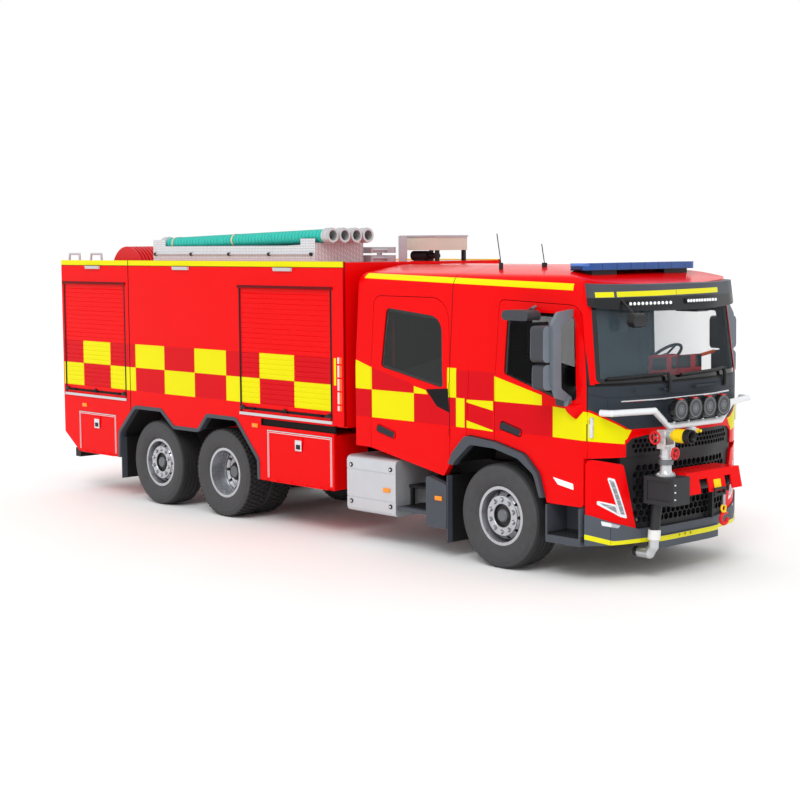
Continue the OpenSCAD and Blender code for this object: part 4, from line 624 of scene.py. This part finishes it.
def sweep(bm, points, radius, segments=12):
    """A round bar through points, closed at both ends."""
    loops = []
    last = len(points) - 1
    for k, point in enumerate(points):
        way = points[min(k + 1, last)] - points[max(k - 1, 0)]
        turn_to = Vector((0, 0, 1)).rotation_difference(way).to_matrix().to_4x4()
        ring = bmesh.ops.create_circle(bm, segments=segments, radius=radius, cap_ends=k in (0, last),
                                       matrix=Matrix.Translation(point) @ turn_to)["verts"]
        edges = {e for v in ring for e in v.link_edges}
        loops.append([e for e in edges if all(v in ring for v in e.verts)])
    for first, second in zip(loops, loops[1:]):
        bmesh.ops.bridge_loops(bm, edges=first + second)
    bmesh.ops.recalc_face_normals(bm, faces=bm.faces)


inside_trim = Finish("cab_trim", srgb(34, 35, 38), 0.7, spread=0.2, scale=40, Specular_IOR_Level=0.25)
inside_trim.bump(inside_trim.grain(300, 3), 0.3)
coat(inside_trim, "cab_interior")
console = Finish("console_red", srgb(190, 8, 14), 0.35, spread=0.1, Specular_IOR_Level=0.25)
clear_of_frame = abs((console.y - 0.24) % 0.4 - 0.2) < 0.16
display = console.box(x=(0.99, 1.2), z=(2.0, 2.125)) * clear_of_frame
console.layer(display, srgb(16, 18, 20), 0.12)
bm = bmesh.new()
block(bm, at(0.93, -0.02, 1.905), at(1.0, 0.38, 2.15), 0.02, 3)
block(bm, at(0.93, 0.40, 1.905), at(1.0, 0.80, 2.13), 0.02, 3)
add("dash_screens", bm, console, "chassis")
orange = Finish("grab_orange", srgb(236, 92, 10), 0.4, spread=0.08, scale=20, Specular_IOR_Level=0.25)
bm = bmesh.new()
sweep(bm, [at(*point) for point in RAIL], RAIL_R)
sweep(bm, [at(x, POLE_Y, z) for x, z in POLE], POLE_R)
add("grab_rails", bm, orange, "chassis")

# Nose: grained grey apron under the screen with a bright strip, black honeycomb grilles behind it,
# and a moulded visor with yellow film and two rows of driving lamps.
SLATE, SOOT = srgb(66, 71, 79), srgb(20, 20, 22)
VISOR_LIP = 2.762
LAMPS_IN_ROW = 11
LAMP_FRONT, LAMP_BACK, LAMP_HALF = 0.022, -0.035, 0.026
LAMPS_OUT = 0.078
STRIP_Z, STRIP_R = 1.765, 0.010
WIPER_Z, WIPER_DROP, BLADE_BENDS = 2.014, 0.004, 6


def moulded(name, colour, roughness=0.5, gloss=0.3, relief=0.2, spread=0.12, scale=4):
    """Plastic with the grain of its mould."""
    finish = Finish(name, colour, roughness, spread=spread, scale=scale, Specular_IOR_Level=gloss)
    return finish.bump(finish.grain(500, 4), relief)


def nose_x(y):
    """How far forward the nose reaches, y to the side."""
    swept = max(min(abs(y), CORNER_Y) - NOSE_FLAT, 0) * NOSE_SWEEP
    return NOSE_X - swept - max(abs(y) - CORNER_Y, 0) * CORNER_SWEEP


def screen_x(y, z):
    """How far forward the raked windscreen reaches."""
    return nose_x(y) - (z - SCREEN_FOOT) * SCREEN_RAKE


def on_screen(y, z, out):
    """A point on the raked windscreen, a little out from its face."""
    return at(screen_x(y, z) + out, y, z)


def stud(bm, place, axis, foot_r, head_r, height, sides):
    """A round or six-sided stud, turned from upright about one axis and put in its place."""
    bmesh.ops.create_cone(bm, cap_ends=True, segments=sides, radius1=foot_r, radius2=head_r, depth=height,
                          matrix=place @ Matrix.Rotation(math.pi / 2, 4, axis))


apron = moulded("apron_plastic", srgb(46, 52, 60), gloss=0.15)
under_wipers = apron.box(z=(1.915, 2.2))
apron.layer(under_wipers, SOOT, 0.4)
coat(apron, "front_apron")
mesh_black = Finish("grille_black", srgb(24, 24, 27), 0.45, spread=0.2, scale=20, Specular_IOR_Level=0.3)
coat(mesh_black, "grilles")
visor = moulded("visor_plastic", SLATE, 0.45, relief=0.15)
visor.layer(visor.z < VISOR_LIP, srgb(24, 25, 28), 0.3)
rise = visor.z - visor.y * 0.008
strip = rise.between(2.776, 2.826) * (visor.x > 1.0)
lengths = [visor.box(y=ends) for ends in ((-1.1, -0.93), (-0.9, -0.122), (-0.116, 0.62))]
visor.layer(strip * reduce(or_, lengths), YELLOW, 0.35)
coat(visor, "sun_visor")
housing, lights = bmesh.new(), bmesh.new()
for y0, y1, z in ((-0.80, -0.22, 2.702), (0.005, 0.53, 2.711)):
    x0, x1 = (screen_x(y, z) + LAMPS_OUT for y in (y0, y1))
    wide = y1 - y0
    turn_to = Matrix.Rotation(-math.atan2(x1 - x0, wide), 4, "Z")
    place = Matrix.Translation(at((x0 + x1) / 2, (y0 + y1) / 2, z)) @ turn_to
    block(housing, Vector((LAMP_BACK, -wide / 2, -LAMP_HALF)), Vector((LAMP_FRONT, wide / 2, LAMP_HALF)),
          0.006, place=place)
    for k in range(LAMPS_IN_ROW):
        along = wide * ((k + 0.5) / LAMPS_IN_ROW - 0.5)
        stud(lights, place @ Matrix.Translation((LAMP_FRONT, along, 0)), "Y", 0.019, 0.014, 0.012, 14)
add("driving_lamp_bars", housing, mesh_black, "chassis")
add("driving_lamp_lenses", lights, lens, "chassis")
bm = bmesh.new()
strip_bends = [-0.905, -0.7, -0.5, -0.42, 0.0, 0.42, 0.6, 0.784]
sweep(bm, [at(nose_x(y) + 0.002, y, STRIP_Z) for y in strip_bends], STRIP_R, 8)
add("apron_strip", bm, chrome, "chassis")
bm = bmesh.new()
for foot, end in ((-0.312, -1.04), (0.66, -0.13)):
    head = foot - 0.024
    arm = [at(nose_x(foot) + 0.02, foot, 1.845), on_screen(foot - 0.012, 1.95, 0.032),
           on_screen(head, WIPER_Z, 0.03)]
    blade = [on_screen(head + (end - head) * k / BLADE_BENDS, WIPER_Z - WIPER_DROP * k, 0.028)
             for k in range(BLADE_BENDS + 1)]
    sweep(bm, arm, 0.02)
    sweep(bm, blade, 0.014)
add("wiper_arms", bm, mesh_black, "chassis")

# Bumper and headlamps: grey moulded bumper with yellow film along it, and bright bladed lamps and
# fog lamps behind clear lenses in the red panels.
BUMPER_FLAT, BUMPER_RISE = 0.98, 0.325
PALE_LENS = srgb(226, 230, 234)
bumper = moulded("bumper_plastic", srgb(74, 80, 89))
lift = (bumper.aside - BUMPER_FLAT) * (bumper.aside > BUMPER_FLAT) * BUMPER_RISE
film = (bumper.z - lift).between(0.363, 0.412) * (bumper.x > 1.08)
bumper.layer(film, YELLOW, 0.35)
coat(bumper, "bumper")
lamp = Finish("headlamp_lens", PALE_LENS, 0.12, spread=0.1, scale=40, Specular_IOR_Level=0.5)
blade = [(1.006, 1.010), (0.964, 0.993), (0.848, 0.660), (0.893, 0.668)]
wedge = [(1.085, 0.790), (0.950, 0.748), (0.925, 0.676), (1.062, 0.768)]
reflector = inside(lamp.aside, lamp.z, blade) | inside(lamp.aside, lamp.z, wedge)
ribs = abs(lamp.z % 0.06 - 0.03) < 0.005
lamp.layer(reflector, srgb(128, 134, 141), 0.12)
lamp.layer(reflector * ribs * 0.4, srgb(214, 218, 222), 0.2)
fog_lamps = lamp.box(z=(0.3, 0.61), aside=(0, 0.99))
lamp.layer(fog_lamps, srgb(176, 181, 187), 0.12)
lamp.bump(lamp.grain(90, 2), 0.1)
coat(lamp, "headlamps")

# Steps, arches and side boxes: grey moulded steps and lips with black liners, and bright aluminium
# boxes bolted to the frame.
BOX_FACE = 1.246
AMBER = srgb(250, 140, 8)
MARKER_LONG, MARKER_TALL = 0.104, 0.048
MARKER_PLACES = [
    (-3.92, 1.268, 1.17), (-7.6, 1.268, 1.17), (-1.66, BOX_FACE, 0.63), (-0.855, BOX_FACE, 0.63)]
step = moulded("step_plastic", SLATE)
treads = step.box(z=(0.40, 0.46), aside=(0.9, 1.23))
step.layer(treads, srgb(40, 42, 46), 0.6)
coat(step, "entry_steps")
arch = moulded("arch_plastic", SLATE)
liners = arch.aside < 1.165
arch.layer(liners, SOOT, 0.7)
coat(arch, "wheel_arches")
sheet = Finish("sheet_aluminium", srgb(196, 199, 204), 0.36, 0.55, spread=0.08, scale=5)
sheet.bump(sheet.grain(30, 5, (0.2, 1, 6)), 0.05)
coat(sheet, "side_tanks")
bolts, washers, markers = bmesh.new(), bmesh.new(), bmesh.new()
for side, _ in SIDES:
    for x in (-2.24, -1.60):
        for z in (0.86, 0.455):
            place = Matrix.Translation(at(x, side * BOX_FACE, z))
            stud(bolts, place, "X", 0.016, 0.014, 0.016, 6)
            stud(washers, place, "X", 0.027, 0.025, 0.008, 20)
    for x, y, z in MARKER_PLACES:
        block(markers, at(x - MARKER_LONG / 2, side * (y - 0.006), z - MARKER_TALL / 2),
              at(x + MARKER_LONG / 2, side * (y + 0.010), z + MARKER_TALL / 2), 0.006)
add("box_bolts", bolts, chrome, "chassis")
add("box_washers", washers, black, "chassis")
amber = Finish("amber_lens", AMBER, 0.15, spread=0.1, scale=90, Specular_IOR_Level=0.5)
add("side_markers", markers, amber, "chassis")

# Front gear: a bright tube across the nose with four black spot lamps and a hand-line valve, the red
# winch cover over the drum, a hook on its clevis, and the feed box with the water monitor.
SPOT_PITCH, SPOT_Z = 0.23, 1.668
ALLOY = srgb(206, 208, 211)
tube = Finish("bright_tube", BRIGHT, 0.3, 0.15, spread=0.03, scale=6)
spot_shells = tube.box(z=(1.545, 1.9), aside=(0, 0.47)) * (tube.x > 1.46)
spot_faces = tube.box(x=(1.605, 1.7), z=(1.545, 1.9), aside=(0, 0.47))
off_spot = tube.aside % SPOT_PITCH - SPOT_PITCH / 2
radial = reach(off_spot, tube.z - SPOT_Z)
lamp_rims = radial.between(0.083, 0.089) | radial.between(0.04, 0.045)
red_marks = tube.box(z=(1.762, 1.9), x=(1.55, 1.7)) * (abs(off_spot) < 0.03)
valve_end = tube.box(x=(1.60, 1.9), y=(-0.14, 0.0), z=(1.38, 1.47))
tube.layer(spot_shells, srgb(22, 22, 24), 0.18)
tube.layer(spot_faces * (radial < 0.088), srgb(46, 48, 53), 0.08)
tube.layer(spot_faces * lamp_rims, srgb(120, 124, 130), 0.15)
tube.layer(spot_faces * (radial < 0.03), srgb(96, 100, 107), 0.1)
tube.layer(red_marks, srgb(206, 20, 18), 0.3)
tube.layer(valve_end, srgb(236, 206, 10), 0.35)
coat(tube, "lamp_bar")
cover = red_paint("winch_red")
yellow_patch = cover.box(x=(1.74, 1.9), y=(-0.012, 0.10), z=(0.862, 0.962))
cover.layer(yellow_patch, srgb(240, 206, 20), 0.35)
coat(cover, "winch_tray")
gear = Finish("winch_black", srgb(42, 43, 46), 0.55, spread=0.15, scale=12, Specular_IOR_Level=0.3)
hook = gear.box(x=(1.7, 1.9), y=(0.0, 0.25), z=(0.4, 0.628))
shackle = gear.box(x=(1.74, 1.9), y=(0.05, 0.2), z=(0.628, 0.72))
clevis = gear.box(x=(1.774, 1.9), y=(0.09, 0.13), z=(0.70, 0.8055))
hose_collar = gear.box(x=(1.4, 1.6), y=(-0.68, -0.52), z=(0.408, 0.505))
elbow = gear.box(x=(1.30, 1.6), y=(-0.68, -0.52), z=(0.1, 0.408))
gear.layer(hook, srgb(214, 12, 16), 0.35)
gear.layer(shackle, srgb(238, 196, 16), 0.35)
gear.layer(clevis, srgb(170, 172, 176), 0.3, 0.8)
gear.layer(hose_collar, srgb(226, 226, 224), 0.4)
gear.layer(elbow, srgb(198, 200, 203), 0.3, 0.7)
gear.bump(gear.grain(420, 2), 0.15)
coat(gear, "winch_gear")
swivel = Finish("monitor_alloy", ALLOY, 0.3, 0.5, spread=0.1, scale=30)
handwheels = swivel.box(x=(1.672, 1.9), z=(1.19, 1.34)) | swivel.box(y=(-0.9, -0.682), z=(1.3, 1.6))
collar = swivel.box(z=(1.146, 1.2))
swivel.layer(collar, srgb(110, 113, 118), 0.4, 0.4)
swivel.layer(handwheels, srgb(206, 10, 16), 0.35)
coat(swivel, "monitor_base")
barrel = Finish("nozzle_yellow", srgb(238, 206, 12), 0.35, spread=0.06, scale=40, Specular_IOR_Level=0.3)
pipe, tip = barrel.x < 1.672, barrel.x > 1.832
barrel.layer(pipe, ALLOY, 0.3, 0.5)
barrel.layer(tip, SOOT, 0.4)
coat(barrel, "monitor_nozzle")
bm = bmesh.new()
for z in (0.975, 0.905, 0.835):
    stud(bm, Matrix.Translation(at(1.793, -0.672, z)), "Y", 0.011, 0.007, 0.010, 14)
add("box_rivets", bm, chrome, "chassis")

# Roof lamps: a long light bar with moulded blue lenses, screwed down on two feet, and two whip aerials
# on rubber bases.
LENS_LONG = 0.22
blue = Finish("blue_lens", srgb(20, 76, 152), 0.14, spread=0.25, scale=14, Specular_IOR_Level=0.4)
seam = abs(blue.y % LENS_LONG - LENS_LONG / 2) > 0.104
blue.layer(seam * 0.8, srgb(8, 20, 60), 0.2)
# Painted highlight: the tops of the lenses are a lighter blue.
lens_top_highlight = blue.box(z=(3.062, 3.2), aside=(0, 0.9), x=(0.64, 0.85))
blue.layer(lens_top_highlight, srgb(70, 112, 190), 0.2)
aerials_and_feet = (blue.x < 0.4) | (blue.z < 3.022)
blue.layer(aerials_and_feet, srgb(26, 26, 29), 0.5)
coat(blue, "roof_lights")

# Mirrors: grained grey plastic heads clamped to a bowed blade, each with a silvered glass facing
# back; the whole set is carried by the front door.
mirror = moulded("mirror_plastic", srgb(106, 114, 123), 0.45, relief=0.15, spread=0.1, scale=6)
heads = mirror.box(z=(1.5, 2.52), aside=(1.26, 1.6))
back_faces = (mirror.x < 0.7212) | (mirror.x < 0.7412) * (mirror.z < 2.145)
shells = mirror.box(x=(0.0, 0.884), aside=(1.22, 1.7))
mirror.layer(shells, srgb(58, 61, 67), 0.5)
mirror.layer(heads * back_faces, srgb(200, 206, 212), 0.04, 1.0)
coat(mirror, "mirrors_right", "mirrors_left")

# Body: aluminium side panels, floor and ends, painted red, with the checkered film band, a yellow
# film band along the top edge, roller shutters and drop-down lockers in the skirts.
ROW_LOW, ROW_MID, ROW_HIGH = 1.43, 1.73, 2.03
SHUTTERS = [(-8.065, -6.60), (-4.205, -2.52)]
LATCH_FOOT, LATCH_FACE = 1.2605, 1.279
LOCKER_FACE = 1.2735
# Lockers: name, ends along the body, bottom and top.
LOCKERS = [("rear", -7.75, -6.865, 0.541, 1.085), ("front", -3.70, -2.535, 0.541, 1.14)]
columns = [-8.09, -7.618, -6.974] + [-6.383 + 0.6375 * k for k in range(7)]
body_checks = [area(a, b, ROW_LOW, ROW_MID) if k % 2 == 0 else area(a, b, ROW_MID, ROW_HIGH)
               for k, (a, b) in enumerate(zip(columns, columns[1:]))]
top_band = area(-8.2, -2.3, 3.036, 3.2)
body_dark = [area(columns[0], columns[-1], ROW_LOW, ROW_HIGH)]
body_red = red_paint("body_red", body_checks + [top_band], body_dark)
panel_gaps = body_red.box(x=(-6.521, -6.507), z=(1.1, 3.2)) | body_red.box(z=(3.030, 3.036))
body_red.layer(panel_gaps, srgb(20, 6, 8), 0.6)
edge_film = body_red.box(x=(-2.492, -2.455), z=(1.726, 2.03))
body_red.layer(edge_film, YELLOW, 0.35)
dash = (body_red.z % 0.15) > 0.02
white_dashes = body_red.box(x=(-2.432, -2.40), z=(1.444, 2.04)) * dash
orange_dashes = body_red.box(x=(-2.392, -2.36), z=(1.444, 2.04)) * dash
body_red.layer(white_dashes, srgb(232, 214, 212), 0.35)
body_red.layer(orange_dashes, srgb(244, 104, 40), 0.35)
proud = body_red.aside > 1.2656
lamps_under_band = proud * (body_red.z > 2.9)
# Painted shade: the shutter hoods are painted a dark red.
shutter_hood_shade = proud * body_red.box(z=(2.74, 2.83))
shutter_sills = proud * body_red.box(z=(1.27, 1.322))
# Painted shade: the recess above the front locker is painted near black.
locker_recess_shade = body_red.box(x=(-3.82, -2.3), z=(1.178, 1.264), aside=(1.2, 1.262))
# Painted shade: the body's front wall, in the gap behind the cab, is painted a darker red.
front_wall_shade = (body_red.x > -2.335) * (body_red.aside < 1.255)
body_red.layer(lamps_under_band, srgb(190, 192, 194), 0.3)
body_red.layer(shutter_hood_shade, srgb(96, 6, 10), 0.4)
body_red.layer(shutter_sills, srgb(205, 207, 210), 0.3, 0.6)
body_red.layer(locker_recess_shade, srgb(26, 22, 22), 0.6)
body_red.layer(front_wall_shade, srgb(150, 4, 8), 0.4)
coat(body_red, "body_side_right", "body_side_left")
curtain = red_paint("shutter_red", body_checks, body_dark)
guides, lift_bars = curtain.aside > 1.2606, curtain.aside > 1.266
curtain.layer(guides, srgb(24, 22, 24), 0.45)
curtain.layer(lift_bars, srgb(18, 18, 20), 0.4)
coat(curtain, "shutters")
coat(red_paint("core_red"), "body_core")
bm = bmesh.new()
for side, _ in SIDES:
    y0, y1 = sorted((side * LATCH_FOOT, side * LATCH_FACE))
    for x0, x1 in SHUTTERS:
        for x in (x0 + 0.06, (x0 + x1) / 2, x1 - 0.06):
            block(bm, at(x - 0.055, y0, 1.350), at(x + 0.055, y1, 1.378), 0.006)
            block(bm, at(x - 0.026, y0, 1.362), at(x + 0.026, y1 + side * 0.004, 1.402), 0.008)
add("shutter_latches", bm, mesh_black, "chassis")
for mark, x0, x1, z0, z1 in LOCKERS:
    door = red_paint(f"{mark}_locker_red")
    for near, far in ((0.005, 0.016), (0.026, 0.034)):
        outer = door.box(x=(x0 + near, x1 - near), z=(z0, z1 - near))
        inner = door.box(x=(x0 + far, x1 - far), z=(z0, z1 - far))
        door.layer(outer * (1 - inner) * (door.z > 0.575), ALLOY, 0.3, 0.5)
    coat(door, f"locker_{mark}_right", f"locker_{mark}_left")
    x, z = (x0 + x1) / 2, z1 - 0.145
    for side, hand in SIDES:
        plate, paddle = bmesh.new(), bmesh.new()
        plate_foot, plate_face, paddle_foot, paddle_face = (
            side * (LOCKER_FACE + out) for out in (0, 0.004, 0.003, 0.012))
        block(plate, at(x - 0.058, plate_foot, z - 0.062), at(x + 0.058, plate_face, z + 0.062), 0.0015)
        block(paddle, at(x - 0.034, paddle_foot, z - 0.042), at(x + 0.034, paddle_face, z + 0.012), 0.004)
        add(f"latch_plate_{mark}_{hand}", plate, chrome, f"locker_{mark}_{hand}")
        add(f"latch_paddle_{mark}_{hand}", paddle, mesh_black, f"locker_{mark}_{hand}")

# Roof gear: chequer-plate hose tray with a roller rail, aluminium ladder, a kit box on a black stand,
# grab bows and a red hose drum half sunk in the roof.
STUD_WAVE = 110.0
ROLLER_START, ROLLER_PITCH = -6.07, 0.765
plate = Finish("chequer_plate", srgb(186, 187, 193), 0.45, 0.15, spread=0.08, scale=8,
               Specular_IOR_Level=0.25)
along, around = (plate.node("Math", {"operation": "SINE"}, {0: way * STUD_WAVE})
                 for way in (plate.x + plate.y * 0.6, plate.z + plate.y))
studs = along * around
tray = plate.box(x=(-6.2, -2.9), y=(-1.2, -0.36))
drum = plate.box(x=(-7.25, -6.45), y=(-1.07, -0.6))
off_roller = abs((plate.x + (ROLLER_PITCH / 2 - ROLLER_START)) % ROLLER_PITCH - ROLLER_PITCH / 2)
rollers = (off_roller < 0.024) * plate.box(y=(-1.2, -1.1302), z=(3.155, 3.206))
box_stand = plate.box(x=(-3.04, -2.3), y=(0.2, 0.85), z=(3.0, 3.2125))
kit_box = plate.box(x=(-3.04, -2.3), y=(0.2, 0.85), z=(3.2125, 3.36))
plate.layer((abs(studs) > 0.35) * tray * 0.7, srgb(228, 229, 232), 0.3, 0.15)
plate.layer(drum, srgb(200, 14, 22), 0.4)
plate.layer(rollers, srgb(24, 24, 26), 0.5)
plate.layer(box_stand, srgb(32, 33, 36), 0.5)
plate.layer(kit_box, srgb(206, 200, 186), 0.5)
plate.bump(studs * tray, 0.5, 0.004)
coat(plate, "roof_rack")

# Suction hoses: four ribbed teal rubber hoses with light-alloy couplings, tied down in the tray by
# two webbing straps.
HOSES, HOSE_PITCH, FIRST_EDGE = 4, 0.178, -1.12
HOSE_START, HOSE_Z, HOSE_SLOPE = -6.01, 3.3063, math.tan(math.radians(1.5))
STRAP_SECTION = [(-0.014, 0.0762), (-0.012, 0.0792), (0.012, 0.0792), (0.014, 0.0762)]
teal = Finish("teal_hose", srgb(40, 178, 164), 0.45, spread=0.15, scale=14, Specular_IOR_Level=0.3)
couplings = (teal.x < -5.885) | (teal.x > -2.87)
teal.layer(couplings, srgb(196, 198, 200), 0.35, 0.5)
coat(teal, "suction_hoses")
webbing = Finish("strap_webbing", srgb(206, 190, 150), 0.8, spread=0.15, scale=60, Specular_IOR_Level=0.2)
webbing.bump(webbing.grain(300, 2), 0.3)
bm = bmesh.new()
for x in (-5.75, -4.53):
    z = HOSE_Z + (x - HOSE_START) * HOSE_SLOPE
    for k in range(HOSES):
        y = FIRST_EDGE + HOSE_PITCH * (k + 0.5)
        ring = [bm.verts.new(at(x + along, y, z + out)) for along, out in STRAP_SECTION]
        edges = [bm.edges.new(pair) for pair in zip(ring, ring[1:] + ring[:1])]
        bmesh.ops.spin(bm, geom=ring + edges, cent=at(x, y, z), axis=(1, 0, 0), angle=math.tau, steps=32,
                       use_merge=True)
bmesh.ops.recalc_face_normals(bm, faces=bm.faces)
add("hose_straps", bm, webbing, "chassis")

# Rear lamps: moulded lens blocks, amber over red over white, screwed to the back of the body, and
# blue lamps under the roof edge.
rear = Finish("rear_lens", srgb(176, 10, 16), 0.15, spread=0.15, scale=40, Specular_IOR_Level=0.5)
turn_lamps, reversing_lamps = rear.box(z=(1.14, 1.3)), rear.box(z=(0.8, 0.985))
blue_lamps = rear.z > 2.0
rear.layer(turn_lamps, AMBER, 0.15)
rear.layer(reversing_lamps, PALE_LENS, 0.15)
rear.layer(blue_lamps, srgb(24, 62, 150), 0.15)
coat(rear, "rear_fittings")
